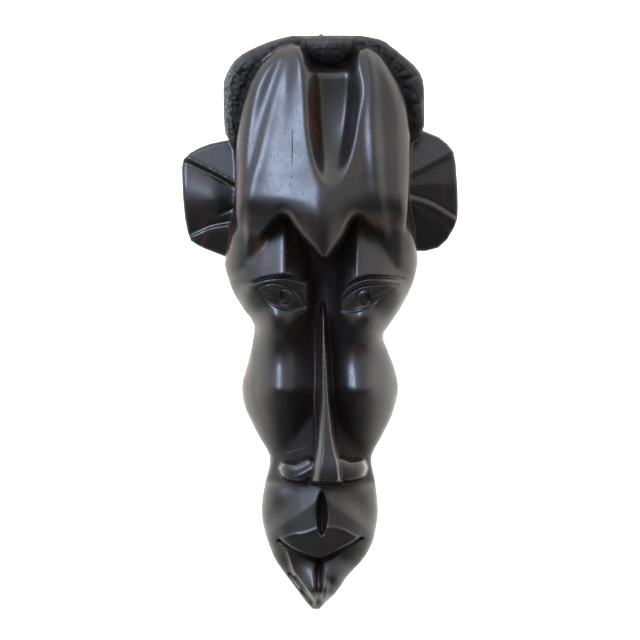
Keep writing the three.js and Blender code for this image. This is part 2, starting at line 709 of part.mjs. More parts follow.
// -------------------------------------------------------------------------------------------------
// The hanger
// -------------------------------------------------------------------------------------------------

// A brass strip lies on the back and rolls over at the top into an eye for the ring.
function strapGeometry() {
  const back = STRAP.standoff;
  const bottom = PIVOT.z - STRAP.length;
  const corner = 2;
  const shape = new THREE.Shape();
  shape.moveTo(back, bottom);
  shape.lineTo(back + STRAP.thick, bottom);
  shape.lineTo(back + STRAP.thick, PIVOT.z - STRAP.eyeOuter - corner);
  shape.lineTo(PIVOT.y, PIVOT.z - STRAP.eyeOuter);
  shape.absarc(PIVOT.y, PIVOT.z, STRAP.eyeOuter, -Math.PI / 2, Math.PI, false);
  shape.lineTo(back, bottom);
  const eye = new THREE.Path();
  eye.absarc(PIVOT.y, PIVOT.z, STRAP.eyeInner, 0, 2 * Math.PI, true);
  shape.holes.push(eye);
  let strap = solid(extrudeAcross(shape, STRAP.width));
  for (const z of screwHeights) {
    strap = strap.subtract(solid(rod(SCREW.shank + GAP, -5, 5, z)));
  }
  return geometryOf(strap);
}

// The wire starts inside the eye, runs round the triangle, and ends against its own start.
function ringGeometry() {
  const half = RING.halfBase;
  const top = RING.height;
  const corner = (x, y) => new THREE.Vector3(x, 0, y);
  const base = corner(0, 0);
  const right = corner(half, 0);
  const apex = corner(0, top);
  const left = corner(-half, 0);
  const towards = (a, b, d) => a.clone().add(b.clone().sub(a).setLength(d));
  const path = new THREE.CurvePath();
  const line = (a, b) => path.add(new THREE.LineCurve3(a, b));
  const bend = (a, b, c) => path.add(new THREE.QuadraticBezierCurve3(a, b, c));
  const start = corner(0.2, 0);
  const finish = corner(-0.2, 0);
  line(start, towards(right, base, RING.corner));
  bend(towards(right, base, RING.corner), right, towards(right, apex, RING.corner));
  line(towards(right, apex, RING.corner), towards(apex, right, RING.apex));
  bend(towards(apex, right, RING.apex), corner(0, top + 0.6), towards(apex, left, RING.apex));
  line(towards(apex, left, RING.apex), towards(left, apex, RING.corner));
  bend(towards(left, apex, RING.corner), left, towards(left, base, RING.corner));
  line(towards(left, base, RING.corner), finish);
  const section = new THREE.Shape().absarc(0, 0, RING.wire, 0, 2 * Math.PI, false);
  return new THREE.ExtrudeGeometry(section, { steps: 64, extrudePath: path, curveSegments: 6 });
}

// A pan-headed wood screw pointing into the timber, with a slot across its head.
function screwGeometry(z) {
  const seat = STRAP.standoff + STRAP.thick + GAP / 3;
  const profilePoints = [
    [0, -SCREW.length + 1.2],
    [0.5, -SCREW.length + 2.2],
    [SCREW.shank, -SCREW.length + 4],
    [SCREW.shank, seat],
    [SCREW.head, seat],
    [SCREW.head, seat + SCREW.headHeight * 0.45],
    [SCREW.head * 0.72, seat + SCREW.headHeight * 0.88],
    [0, seat + SCREW.headHeight],
  ].map(([r, y]) => new THREE.Vector2(r, y));
  const turned = new THREE.LatheGeometry(profilePoints, 20).translate(0, 0, z);
  const slot = new THREE.BoxGeometry(SCREW.head * 3, SCREW.headHeight, SCREW.slot);
  slot.translate(0, seat + SCREW.headHeight * 1.05, z);
  return geometryOf(solid(turned).subtract(solid(slot)));
}

// -------------------------------------------------------------------------------------------------
// Assembly
// -------------------------------------------------------------------------------------------------

const wood = new THREE.MeshStandardMaterial({ color: 0x1b1412, roughness: 0.32, metalness: 0 });
const brass = new THREE.MeshStandardMaterial({ color: 0xb5924a, roughness: 0.35, metalness: 1 });
const steel = new THREE.MeshStandardMaterial({ color: 0x9a948a, roughness: 0.4, metalness: 1 });

const assembly = new THREE.Group();

function place(name, geometry, material) {
  const mesh = new THREE.Mesh(geometry, material);
  mesh.name = name;
  assembly.add(mesh);
  return mesh;
}

place("carved_mask", maskGeometry(), wood);
place("hanger_strap", strapGeometry(), brass);
screwHeights.forEach((z, i) => place(["strap_screw_upper", "strap_screw_lower"][i], screwGeometry(z), steel));

const ring = place("hanger_ring", ringGeometry(), brass);
ring.position.set(0, PIVOT.y, PIVOT.z);
ring.rotation.x = THREE.MathUtils.degToRad(RING.lean);

export default assembly;
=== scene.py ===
"""Carved ebonised wall mask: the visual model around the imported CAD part.

The timber is one closed body. Its front is a set of depth maps over the front view, in millimetres in
front of the flat back. They bound a signed field, and the mesh is that field's surface.
"""

import bmesh
import bpy
import numpy as np
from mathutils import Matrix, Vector


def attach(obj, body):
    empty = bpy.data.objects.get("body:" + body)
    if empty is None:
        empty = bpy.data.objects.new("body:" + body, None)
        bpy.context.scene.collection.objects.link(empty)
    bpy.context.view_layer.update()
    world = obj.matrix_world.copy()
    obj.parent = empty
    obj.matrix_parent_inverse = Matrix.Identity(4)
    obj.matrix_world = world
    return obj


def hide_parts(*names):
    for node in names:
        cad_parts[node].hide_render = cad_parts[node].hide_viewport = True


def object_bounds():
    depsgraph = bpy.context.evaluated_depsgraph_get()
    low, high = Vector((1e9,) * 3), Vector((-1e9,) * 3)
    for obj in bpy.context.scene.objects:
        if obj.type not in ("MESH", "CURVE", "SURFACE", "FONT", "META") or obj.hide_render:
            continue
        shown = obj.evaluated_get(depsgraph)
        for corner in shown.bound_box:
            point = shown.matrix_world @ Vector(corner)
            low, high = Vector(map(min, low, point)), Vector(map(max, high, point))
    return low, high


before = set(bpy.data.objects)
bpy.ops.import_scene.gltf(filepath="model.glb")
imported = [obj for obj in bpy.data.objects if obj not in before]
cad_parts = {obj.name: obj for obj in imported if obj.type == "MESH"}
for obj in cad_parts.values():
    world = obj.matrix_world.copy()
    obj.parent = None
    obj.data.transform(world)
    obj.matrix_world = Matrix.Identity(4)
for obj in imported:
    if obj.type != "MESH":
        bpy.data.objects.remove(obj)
CAD_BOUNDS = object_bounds()
MM = 0.001
VOXEL = 1.0

# The depth maps cover the front view from (X0, Z0) to (X1, Z1), with a sample every STEP millimetres.
STEP = 0.5
X0 = -106.0
X1 = 106.0
Z0 = -410.0
Z1 = 6.0

# The hollow in the back: its top and bottom, how far it stays from the outline, and how its edge rounds over.
HOLLOW_TOP = -50
HOLLOW_BOTTOM = -342
HOLLOW_RIM = 15
HOLLOW_RADIUS = 14.0

# How far in front of the back plane the ears and the forehead lobes start.
EAR_BACK = 8.0
LOBE_BACK = 30.0


def curve(*points):
    """A smooth function of z through (z, value) points, flat beyond its ends."""
    p = np.array(sorted(points), float)
    z, v = p[:, 0], p[:, 1]
    slopes = np.gradient(v, z) if len(z) > 2 else np.full(len(z), (v[-1] - v[0]) / (z[-1] - z[0]))
    steps = np.diff(v) / np.diff(z)
    for i in range(1, len(z) - 1):
        if steps[i - 1] * steps[i] <= 0:
            slopes[i] = 0.0
        else:
            limit = 3 * min(abs(steps[i - 1]), abs(steps[i]))
            slopes[i] = np.clip(slopes[i], -limit, limit)

    def at(q):
        q = np.clip(q, z[0], z[-1])
        i = np.clip(np.searchsorted(z, q) - 1, 0, len(z) - 2)
        h = z[i + 1] - z[i]
        t = (q - z[i]) / h
        a = (2 * t**3 - 3 * t**2 + 1) * v[i] + (t**3 - 2 * t**2 + t) * h * slopes[i]
        return a + (3 * t**2 - 2 * t**3) * v[i + 1] + (t**3 - t**2) * h * slopes[i + 1]

    return at


def smooth_max(a, b, k):
    h = np.clip(0.5 + 0.5 * (a - b) / k, 0, 1)
    return b + (a - b) * h + k * h * (1 - h)


def smooth_min(a, b, k):
    return -smooth_max(-a, -b, k)


def ramp(v, low, high):
    t = np.clip((v - low) / (high - low), 0, 1)
    return t * t * (3 - 2 * t)


def polygon_distance(x, z, points):
    """Signed distance to a closed outline: positive inside."""
    p = np.asarray(points, float)
    inside = np.zeros(x.shape, bool)
    best = np.full(x.shape, 1e9)
    for (ax, az), (bx, bz) in zip(p, np.roll(p, -1, axis=0)):
        dx, dz = bx - ax, bz - az
        t = np.clip(((x - ax) * dx + (z - az) * dz) / (dx * dx + dz * dz + 1e-12), 0, 1)
        best = np.minimum(best, (x - ax - t * dx) ** 2 + (z - az - t * dz) ** 2)
        crosses = (az > z) != (bz > z)
        if az != bz:
            inside ^= crosses & (x < ax + (z - az) * dx / (bz - az))
    return np.where(inside, 1, -1) * np.sqrt(best)


def path_distance(x, z, path):
    """Distance to a path of (x, z, depth) points, with the depth there and the side.

    The side is positive to the right of travel.
    """
    best = np.full(x.shape, 1e9)
    depth = np.zeros(x.shape)
    side = np.zeros(x.shape)
    for (ax, az, ad), (bx, bz, bd) in zip(path[:-1], path[1:]):
        dx, dz = bx - ax, bz - az
        t = np.clip(((x - ax) * dx + (z - az) * dz) / (dx * dx + dz * dz), 0, 1)
        ox, oz = x - ax - t * dx, z - az - t * dz
        d = ox * ox + oz * oz
        closer = d < best
        best = np.where(closer, d, best)
        depth = np.where(closer, ad + t * (bd - ad), depth)
        side = np.where(closer, np.sign(ox * dz - oz * dx), side)
    return np.sqrt(best), depth, side


def smooth_path(points, count):
    """A Catmull-Rom path through the given points."""
    p = np.array(points, float)
    p = np.vstack([2 * p[0] - p[1], p, 2 * p[-1] - p[-2]])
    out = []
    for i in range(1, len(p) - 2):
        for t in np.linspace(0, 1, count, endpoint=False):
            a, b, c, d = p[i - 1], p[i], p[i + 1], p[i + 2]
            out.append(0.5 * (2 * b + (c - a) * t + (2 * a - 5 * b + 4 * c - d) * t**2
                + (3 * b - a - 3 * c + d) * t**3))
    out.append(p[-2])
    return np.array(out)


def smooth_outline(points, count):
    """A Catmull-Rom path through (x, z) points, as a list of such points."""
    return smooth_path([(a, b, 0) for a, b in points], count)[:, :2].tolist()


def blur(a, sigma):
    """Gaussian blur by sigma millimetres."""
    s = sigma / STEP
    r = int(np.ceil(3 * s))
    k = np.exp(-0.5 * (np.arange(-r, r + 1) / s) ** 2)
    k /= k.sum()
    p = np.pad(a, r, mode="edge")
    p = sum(w * p[:, i : i + a.shape[1]] for i, w in enumerate(k))
    return sum(w * p[i : i + a.shape[0], :] for i, w in enumerate(k))


def section(x, nodes):
    """Depth across the mask through (x, depth, bulge) nodes, from left to right.

    The bulge curves the facet that follows its node.
    """
    x0, d0, _ = nodes[0]
    out = np.where(x < x0, d0, 0.0)
    for (xa, da, bulge), (xb, db, _) in zip(nodes[:-1], nodes[1:]):
        t = np.clip((x - xa) / np.maximum(xb - xa, 1e-3), 0, 1)
        out = np.where((x >= xa) & (x < xb), da + (db - da) * t + bulge * 4 * t * (1 - t), out)
    xn, dn, _ = nodes[-1]
    return np.where(x >= xn, dn, out)


grid_x = np.arange(X0, X1 + STEP / 2, STEP)
grid_z = np.arange(Z0, Z1 + STEP / 2, STEP)
GX, GZ = np.meshgrid(grid_x, grid_z)

# ---- outlines ------------------------------------------------------------------------------------------
left_edge = curve(
    (-1, -20), (-3, -29), (-8, -43), (-14, -55), (-25, -64.5), (-36, -68), (-62, -67.5), (-70, -66.5),
    (-80, -60.5), (-146, -60), (-153, -63.5), (-159, -66), (-170, -63.7), (-182, -59.5), (-193, -53.2),
    (-199, -48.3), (-205, -46.2), (-210, -46.9), (-221, -49), (-232, -51.8), (-246, -55.2),
    (-260, -53.2), (-271, -48.3), (-283, -42), (-293, -36.2), (-298, -35.6), (-311, -38.5),
    (-322, -40.6), (-332, -41.4), (-344, -39.9), (-355.5, -36.4), (-367, -31.5), (-378, -23.8),
    (-389, -15.4), (-396, -10.5), (-401, -6),
)
right_edge = curve(
    (-1, 28), (-3, 39), (-8, 48.3), (-14, 56), (-25, 67.9), (-38, 72), (-62, 72.2), (-68, 71),
    (-77, 62.5), (-145, 62.5), (-152, 64.5), (-159, 65.8), (-170.5, 63.7), (-182, 60.2), (-193, 54.6),
    (-204, 46.9), (-210.5, 43.3), (-221, 46.9), (-232, 51.1), (-247, 54.1), (-260, 51.8), (-271, 47.6),
    (-283, 41.3), (-293, 35.9), (-298, 35.2), (-311, 37.8), (-322, 39.2), (-332, 40), (-344, 38.5),
    (-355.5, 35.7), (-367, 28.7), (-378, 18.2), (-389, 10.5), (-396, 3.5), (-401, -1),
)


def outline(left, right, z_values):
    return [(left(z), z) for z in z_values] + [(right(z), z) for z in z_values[::-1]]


HEAD_ROWS = np.concatenate([
    [-1, -2, -3.5, -5.5, -8, -11, -14, -18, -22],
    np.linspace(-27, -395, 70),
    [-397, -399, -400.4, -401],
])

# ---- forehead lobes ------------------------------------------------------------------------------------
LOBES_LEFT_SIDE = smooth_path([
    (-20, -6.6), (-27, -8), (-35, -13), (-43, -21), (-50, -34), (-54.5, -50), (-57.3, -66), (-59, -84),
    (-59.6, -106), (-58.6, -128), (-57, -146), (-55.5, -160),
], 4).tolist()
LOBES_PROW = smooth_path([
    (-51.1, -170.5), (-46.9, -153.7), (-38.5, -137.2), (-30.5, -128.2), (-24.5, -126.3),
    (-17.5, -134.5), (-10, -144), (-2, -152.5), (3, -156), (8, -152), (15, -141.5), (22.5, -129),
    (28.5, -129.5), (39.9, -142.2), (46.5, -152.3), (54.6, -168),
], 3).tolist()
LOBES_RIGHT_SIDE = smooth_path([
    (58.5, -155), (59.5, -134), (60.5, -118), (62, -98), (62, -76), (60.8, -58), (58.3, -44),
    (53.5, -31), (47, -21), (41, -13.5), (34, -9.4), (27, -10.5), (21.5, -16), (19.3, -19.5),
], 4).tolist()
LOBES_VALLEY = [(18.6, -22), (12, -22.8), (2, -22.8), (-4.8, -21.8)]
LOBES_CROWN = smooth_path([(-6.8, -18), (-9.5, -14), (-14.5, -8.6)], 3).tolist()
LOBE_OUTLINE = LOBES_LEFT_SIDE + LOBES_PROW + LOBES_RIGHT_SIDE + LOBES_VALLEY + LOBES_CROWN


def lobe_join(x, z):
    """How softly the lobes run into the head: sharply at the crown, broadly on the temples."""
    return 1.5 + 5 * ramp(-z, 128, 150) + 14 * ramp(np.abs(x), 38, 50) * ramp(-z, 118, 138)


def lobe_radius(x, z):
    """How far the lobes' edges round over: broadly at the crown and the lids, tightly along the prow."""
    top = 4.5 + 4.5 * ramp(z, -128, -100)
    top = top + 5 * ramp(np.abs(x), 38, 50) * ramp(-z, 122, 140)
    return top + 4.5 * np.exp(-(((np.abs(x + 0.5) - 26) / 8.0) ** 2)) * ramp(-z, 108, 122)


HEAD_RADIUS = curve(
    (-60, 7), (-90, 8), (-140, 16), (-160, 24), (-200, 24), (-245, 30), (-300, 22), (-330, 28), (-380, 14),
    (-401, 6),
)


def head_radius(x, z):
    return HEAD_RADIUS(z) + 0 * x


# Each line down the forehead has an _x, where it runs, and a _d, how far it stands before the slope.
brow_slope = curve(
    (-6, 57), (-14, 62), (-30, 70), (-60, 81), (-100, 96.5), (-118, 103), (-126, 104.5), (-138, 103.5),
    (-156, 98),
)
ridge_a_x = curve((-9, -21.5), (-40, -30), (-66, -37), (-87, -41.5), (-103, -46.5), (-125, -51))
ridge_a_d = curve((-9, -6), (-60, -9), (-103, -12), (-118, -15), (-130, -24), (-145, -35), (-156, -46))
stripe_x = curve((-9, -25.5), (-26, -33), (-50, -41.5), (-72, -47), (-95, -52), (-125, -55))
stripe_d = curve((-9, -8.5), (-60, -13.5), (-103, -16.5), (-118, -19), (-130, -30), (-145, -42), (-156, -52))
groove_x = curve((-9, -23.5), (-40, -33.0), (-66, -40.0), (-87, -44.5), (-103, -49), (-125, -53))
groove_d = curve(
    (-9, -7.3), (-60, -10.8), (-103, -13.2), (-118, -16.5), (-130, -28), (-145, -39), (-156, -50),
)
edge_l_x = curve((-9, -30), (-30, -48), (-60, -57), (-106, -60), (-150, -57))
edge_l_d = curve((-9, -10), (-60, -20), (-100, -24), (-118, -26), (-130, -32), (-145, -43), (-156, -52))
middle_l_x = curve((-9, -20), (-40, -22), (-103, -27), (-125, -28), (-156, -22))
middle_l_d = curve((-9, -4), (-60, -5.5), (-103, -7.2), (-118, -9), (-130, -14), (-156, -20))
crest_b_x = curve((-24, -13.5), (-45, -10.5), (-66, -9), (-87, -5.5), (-104, -1.7), (-125, -3), (-156, 2))
crest_b_d = curve((-8, 0), (-155, 0))
floor_l_x = curve((-24, -0.7), (-66, 0), (-90, 2), (-106, 3.5), (-155, 3.2))
floor_r_x = curve((-24, 18.9), (-66, 16.5), (-90, 11.5), (-106, 5), (-155, 3.4))
floor_d = curve(
    (-24, -12), (-45, -19), (-66, -21), (-85, -16), (-98, -7), (-107, -0.8), (-118, -0.6), (-156, -0.5),
)
inner_x = curve((-16, 26), (-37, 30), (-60, 26), (-77, 23), (-101, 16), (-115, 9), (-130, 6), (-155, 3.6))
inner_d = curve((-8, -2), (-60, -2.5), (-101, -2), (-125, -1.5), (-156, -1))
before_c_x = curve((-15, 30), (-38, 31), (-58, 30.5), (-80, 31), (-100, 32), (-127, 35), (-140, 39))
before_c_d = curve(
    (-8, -3.6), (-58, -4.4), (-100, -8.4), (-118, -13.6), (-130, -24), (-145, -36), (-156, -48),
)
ridge_c_x = curve((-15, 33.5), (-38, 35.7), (-58, 35.7), (-80, 37), (-100, 38.5), (-127, 42), (-140, 46))
ridge_c_d = curve((-8, -3), (-58, -2.8), (-100, -7), (-118, -13), (-130, -23), (-145, -35), (-156, -47))
after_c_x = curve((-15, 38), (-38, 42), (-58, 43), (-80, 44), (-100, 45), (-127, 48), (-140, 50))
after_c_d = curve((-8, -7), (-58, -9), (-100, -13), (-118, -18), (-130, -28), (-145, -41), (-156, -51))
edge_r_x = curve((-9, 42), (-30, 53), (-60, 61), (-100, 62), (-150, 59))
edge_r_d = curve((-9, -10), (-60, -20), (-100, -24), (-118, -26), (-130, -32), (-145, -43), (-156, -52))


def lobe_height(x, z):
    nodes = [
        (edge_l_x(z), edge_l_d(z), 1.5),
        (stripe_x(z), stripe_d(z), -0.5),
        (groove_x(z), groove_d(z), 0.0),
        (ridge_a_x(z), ridge_a_d(z), -0.6),
        (middle_l_x(z), middle_l_d(z), 0.3),
        (crest_b_x(z), crest_b_d(z), 1.5),
        (floor_l_x(z), floor_d(z), 0.6),
        (floor_r_x(z), floor_d(z), 1.0),
        (inner_x(z), inner_d(z), -1.0),
        (before_c_x(z), before_c_d(z), 0.0),
        (ridge_c_x(z), ridge_c_d(z), 0.0),
        (after_c_x(z), after_c_d(z), 1.5),
        (edge_r_x(z), edge_r_d(z), 0),
    ]
    carved = brow_slope(z) + section(x, nodes)
    # the knife's facets are softened by sanding, most of all on the prow and down the valley
    prow = ramp(-z, 96, 112) * np.exp(-(((x - 3) / 15) ** 2))
    valley = (1 - ramp(-z, 96, 112)) * np.exp(-(((x - 8) / 8) ** 2))
    soft = np.maximum(prow, valley)
    return blur(carved, 1.5) * (1 - soft) + blur(carved, 3.8) * soft


# ---- face ----------------------------------------------------------------------------------------------
head_core = curve(
    (-40, 44), (-68, 44), (-82, 36), (-128, 42), (-146, 58), (-160, 60), (-190, 57), (-205, 52),
    (-245, 50), (-285, 46), (-302, 45), (-308, 50), (-316, 64), (-330, 68), (-350, 67), (-368, 60),
    (-384, 50), (-401, 40),
)
nose_depth = curve(
    (-182, 30), (-187, 60), (-192, 70), (-205, 78), (-250, 90), (-290, 99), (-304, 102), (-312, 101),
)
nose_foot_l = curve(
    (-188, 0.8), (-210, -0.2), (-245, -1.6), (-266, -2.6), (-287, -3.4), (-299, -5.0), (-311, -7.5),
)
nose_ridge_l = curve(
    (-188, 1.3), (-210, 1.3), (-245, 1.7), (-266, 2.0), (-287, 1.6), (-299, 0.2), (-311, -1.2),
)
nose_ridge_r = curve(
    (-188, 1.8), (-210, 3.0), (-245, 5.0), (-266, 6.4), (-287, 8.8), (-299, 11.4), (-311, 12.6),
)
nose_foot_r = curve(
    (-188, 2.2), (-210, 4.0), (-245, 6.1), (-266, 7.6), (-287, 10.2), (-299, 13.2), (-311, 14.6),
)

EYE_L = {
    "crease": [(-46.7, -172.6), (-37.8, -169.7), (-24.5, -168.4), (-12.7, -170.8)],
    "upper": [(-44.5, -176.8), (-36, -173.5), (-28, -173.9), (-19, -177.9), (-13.7, -183.3), (-10.9, -189.6)],
    "lower": [
        (-44.5, -176.8), (-40.4, -181.5), (-35.1, -186.8), (-28.9, -190), (-20.8, -191.7), (-10.9, -189.6),
    ],
    "centre": (-27, -182),
    "pupil": (-27, -182.4),
    "iris": (-24.6, -182.6),
}
EYE_R = {
    "crease": [(57, -170.3), (44.4, -169.1), (31, -169.1), (22.1, -172.6), (14.9, -177.9), (10.5, -185.1)],
    "upper": [(53.8, -174.6), (39.9, -174.2), (29.3, -175.7), (20.3, -180.2), (13.2, -186.8), (11.5, -191.5)],
    "lower": [(53.8, -174.6), (42.7, -182.4), (32.9, -189.6), (21.7, -193), (11.5, -191.5)],
    "centre": (31, -183),
    "pupil": (32.4, -183.3),
    "iris": (30, -183.5),
}


def bump(x, z, cx, cz, rx, rz, height, power=1.0):
    """A smooth hill over an ellipse."""
    r2 = ((x - cx) / rx) ** 2 + ((z - cz) / rz) ** 2
    return height * np.exp(-(r2 ** power) * 1.2)


def face_height(x, z):
    h = head_core(z) + 0 * x
    # temples, and the swellings under the eyes and on the cheeks, each cheek with a soft point
    for way, cx in ((-1, -28), (1, 28)):
        h = h + bump(x, z, way * 54, -150, 19, 30, 9)
        h = h + bump(x, z, cx, -246, 25, 62, 18)
        h = h + bump(x, z, cx - way * 2, -248, 36, 13, 6.5, 0.75)
        h = h + bump(x, z, cx + way * 3, -199, 20, 17, 17)
    # lids: a tent with a rounded ridge, from an apex under the brow down to the crease over the eye
    tents = []
    for cx, outer, top in ((-25.5, -1, -125), (25.5, 1, -127)):
        u = outer * (x - cx)
        side = np.where(u > 0, 0.55, 1.15) * (np.hypot(u, 1.5) - 1.5)
        tents.append(np.minimum(68 - side + 0.40 * (top - z), 68 - 3 * (z - top - 4)))
    for lid, eye in zip(tents, (EYE_L, EYE_R)):
        cx, cz = eye["centre"]
        inward = -np.sign(cx) * (x - cx)
        lid = lid - 26 * ramp(inward, 14, 26) * ramp(-z, 156, 174)
        crease = smooth_path([(px, pz, 0) for px, pz in eye["crease"]], 5)
        line = np.interp(x, *zip(*sorted((p[0], p[1]) for p in crease)))
        h = h + (smooth_max(h, lid, 1.5) - h) * ramp(z - line, -1.5, 1.0)
        # the eye: a shallow swelling that leans back below the crease
        r = np.hypot((x - cx) / 26.0, (z - cz + 1) / 16.0)
        ball = 82 - 0.36 * (-168 - z) - 0.008 * (x - cx) ** 2
        ball = ball - 9 * ramp(r, 0.85, 1.5) - 26 * ramp(inward, 17, 28)
        h = h + (smooth_max(h, ball, 6) - h) * ramp(line - z, -1.0, 1.5)
        upper = smooth_outline(eye["upper"], 4)
        lower = smooth_outline(eye["lower"], 4)
        opening = polygon_distance(x, z, upper + lower[::-1])
        h = h - 1.1 * ramp(opening, -0.4, 0.8) + 1.1 * ramp(opening, 0.8, 5.5)
    return h - bump(x, z, 2, -172, 11, 22, 9)


def eye_details(x, z):
    """What is cut into the finished surface: creases, lid edges, pupils."""
    cut = np.zeros_like(x)
    for eye in (EYE_L, EYE_R):
        for name, deep, wide in (("crease", 1.5, 0.8), ("upper", 1.5, 0.75), ("lower", 1.1, 0.7)):
            d = path_distance(x, z, smooth_path([(a, b, 0) for a, b in eye[name]], 5))[0]
            cut = np.maximum(cut, deep * np.exp(-((d / wide) ** 2)))
        px, pz = eye["pupil"]
        r = np.hypot((x - px) / 1.7, (z - pz) / 3.1)
        cut = np.maximum(cut, 3.0 * ramp(-r, -1.3, -0.6))
        ix, iz = eye["iris"]
        ring = np.abs(np.hypot(x - ix, (z - iz) / 1.15) - 4.6)
        cut = np.maximum(cut, 0.8 * np.exp(-((ring / 0.7) ** 2)))
    return cut


def nose_height(x, z):
    """The nose: a rounded left flank, a thin ridge, a slim front facet, and a steep right flank."""
    deep = nose_depth(z)
    lf, rl, rr, rf = nose_foot_l(z), nose_ridge_l(z), nose_ridge_r(z), nose_foot_r(z)
    flank = 8 + 4 * ramp(-z, 195, 240)
    h = section(x, [
        (lf - 1.2, deep - flank - 34, 0),
        (lf, deep - flank, 1.2),
        (rl, deep, -0.5),
        (rr, deep - 1.2, 0.3),
        (rf, deep - 9, 0),
        (rf + 1.0, deep - 42, 0),
    ])
    return h - 14.0 * np.maximum(-311.0 - z, 0)


# The outline of each wing, and the x of its root.
WING_L = [
    (-28.6, -302.6), (-25.5, -298.2), (-17, -298.2), (-8, -294.5), (-2, -301), (-6, -310.3), (-11, -311.3),
    (-17, -311.5), (-25.5, -309),
]
WING_R = [
    (31.8, -302.5), (29, -296.8), (20, -296.8), (12, -294), (6, -300), (9, -310), (14, -311.3), (20, -311),
    (29, -308.5),
]
NOSTRILS = ((WING_L, -6), (WING_R, 10))


def nostril_height(x, z):
    """The two wings of the nostrils: lenses that reach out sideways from the nose's tip."""
    h = np.full_like(x, -50.0)
    for points, centre in NOSTRILS:
        d = polygon_distance(x, z, smooth_outline(points + points[:1], 4))
        level = 82 - 0.26 * np.abs(x - centre)
        t = np.clip(1 - d / 6.0, 0, 1)
        lens = level - 5.0 * (1 - np.sqrt(np.maximum(1 - t * t, 0)))
        h = np.maximum(h, np.where(d > 0, lens, level - 5 + 8.0 * d))
    return h


WING_FOLD = smooth_path([(-26.5, -306.5, 0), (-19, -308.3, 0), (-12, -305.5, 0), (-5, -301.5, 0)], 4)


def nostril_holes(x, z):
    out = 3.5 * np.exp(-(((x + 7.8) / 2.4) ** 2) - ((z + 309.8) / 1.5) ** 2)
    out = out + 3.0 * np.exp(-(((x - 13.8) / 1.8) ** 2) - ((z + 309.8) / 1.5) ** 2)
    fold = path_distance(x, z, WING_FOLD)[0]
    return out - 0.7 * np.exp(-((fold / 1.1) ** 2))


LIPS = smooth_path([
    (-29.4, -352.2, 0), (-16.6, -360.3, 0), (-3.8, -365.2, 0), (1.5, -365.1, 0), (11.5, -360.3, 0),
    (28.4, -350.6, 0),
], 5)
LIP_BORDER_L = smooth_path([
    (-27, -351, 0), (-19, -348, 0), (-13, -347.3, 0), (-7, -345.5, 0), (-1.4, -343, 0),
], 4)
LIP_BORDER_R = smooth_path([
    (4.2, -343, 0), (10, -343.2, 0), (16, -345, 0), (21, -347.8, 0), (26, -350.5, 0),
], 4)
CHIN_EDGE = smooth_path([
    (-26.5, -353, 0), (-23.5, -359, 0), (-20.6, -368.3, 0), (-18.2, -374.7, 0), (-11.8, -383.5, 0),
    (-4.6, -393.5, 0),
], 4)
CHIN_GROOVE = [(-1.2, -362, 0), (-1.6, -376, 0), (-1.6, -394, 0)]
CHIN_RIB = smooth_path([(2.6, -364, 0), (4.0, -372, 0), (3.4, -384, 0), (2.6, -394, 0)], 4)
CHIN_STRANDS = (
    [(-21.5, -376, 0), (-14, -386, 0), (-5.5, -397, 0)],
    [(-17.5, -378.5, 0), (-11.5, -386.5, 0), (-4.8, -395.5, 0)],
)
chin_slope = curve((-340, 75), (-352, 71), (-364, 65), (-376, 61.5), (-388, 57), (-401, 46))


def muzzle_height(x, z):
    d = np.abs(x - 0.7)
    # the upper lip's roof: two facets rise to a diagonal fold, then stand upright down to the border
    fold = -321.5 - 0.72 * d
    upper = 82 - 0.26 * d - 0.38 * np.maximum(z - fold, 0)
    lower = 82 - 0.26 * d + 0.04 * np.maximum(fold - z, 0)
    h = np.where(z > fold, upper, lower)
    # the lip itself falls back from its border to the mouth
    border = np.r_[LIP_BORDER_L, LIP_BORDER_R]
    border = np.interp(x, border[:, 0], border[:, 1])
    h = h - 0.24 * np.maximum(border - z, 0)
    # the cleft under the nose
    half = 4.4 * np.clip(np.sin(np.pi * np.clip((-318 - z) / 30.0, 0, 1)), 0, 1) ** 0.7
    h = h - 10.0 * np.clip(1 - (d / (half + 0.01)) ** 1.4, 0, 1) * (half > 0.05)
    # chin: two lobes under the mouth, parted by a groove with a thin rib beside it
    mouth = np.interp(x, LIPS[:, 0], LIPS[:, 1])
    left = 20 * np.exp(-(((x - 1) / 20.0) ** 2) - ((z + 391) / 17.0) ** 2)
    right = 14 * np.exp(-(((x - 9) / 14.0) ** 2) - ((z + 381) / 15.0) ** 2)
    chin = chin_slope(z) + smooth_max(left, right, 2)
    groove = path_distance(x, z, CHIN_GROOVE)[0]
    rib = path_distance(x, z, CHIN_RIB)[0]
    chin = chin - 6.0 * np.exp(-((groove / 1.8) ** 2)) + 2.4 * np.exp(-((rib / 1.5) ** 2))
    edge_x = np.interp(-z, -CHIN_EDGE[:, 1], CHIN_EDGE[:, 0])
    chin = chin - 4.0 * ramp(edge_x - x, -0.5, 2.6) * ramp(-z, 355, 366)
    chin = chin - 11 * ramp(-z, 386, 399)
    spread = 10 * ramp(np.abs(x), 23, 31)
    below = ramp(mouth - z, -0.6 - spread, 0.6 + spread)
    h = h + (chin - h) * below
    return h


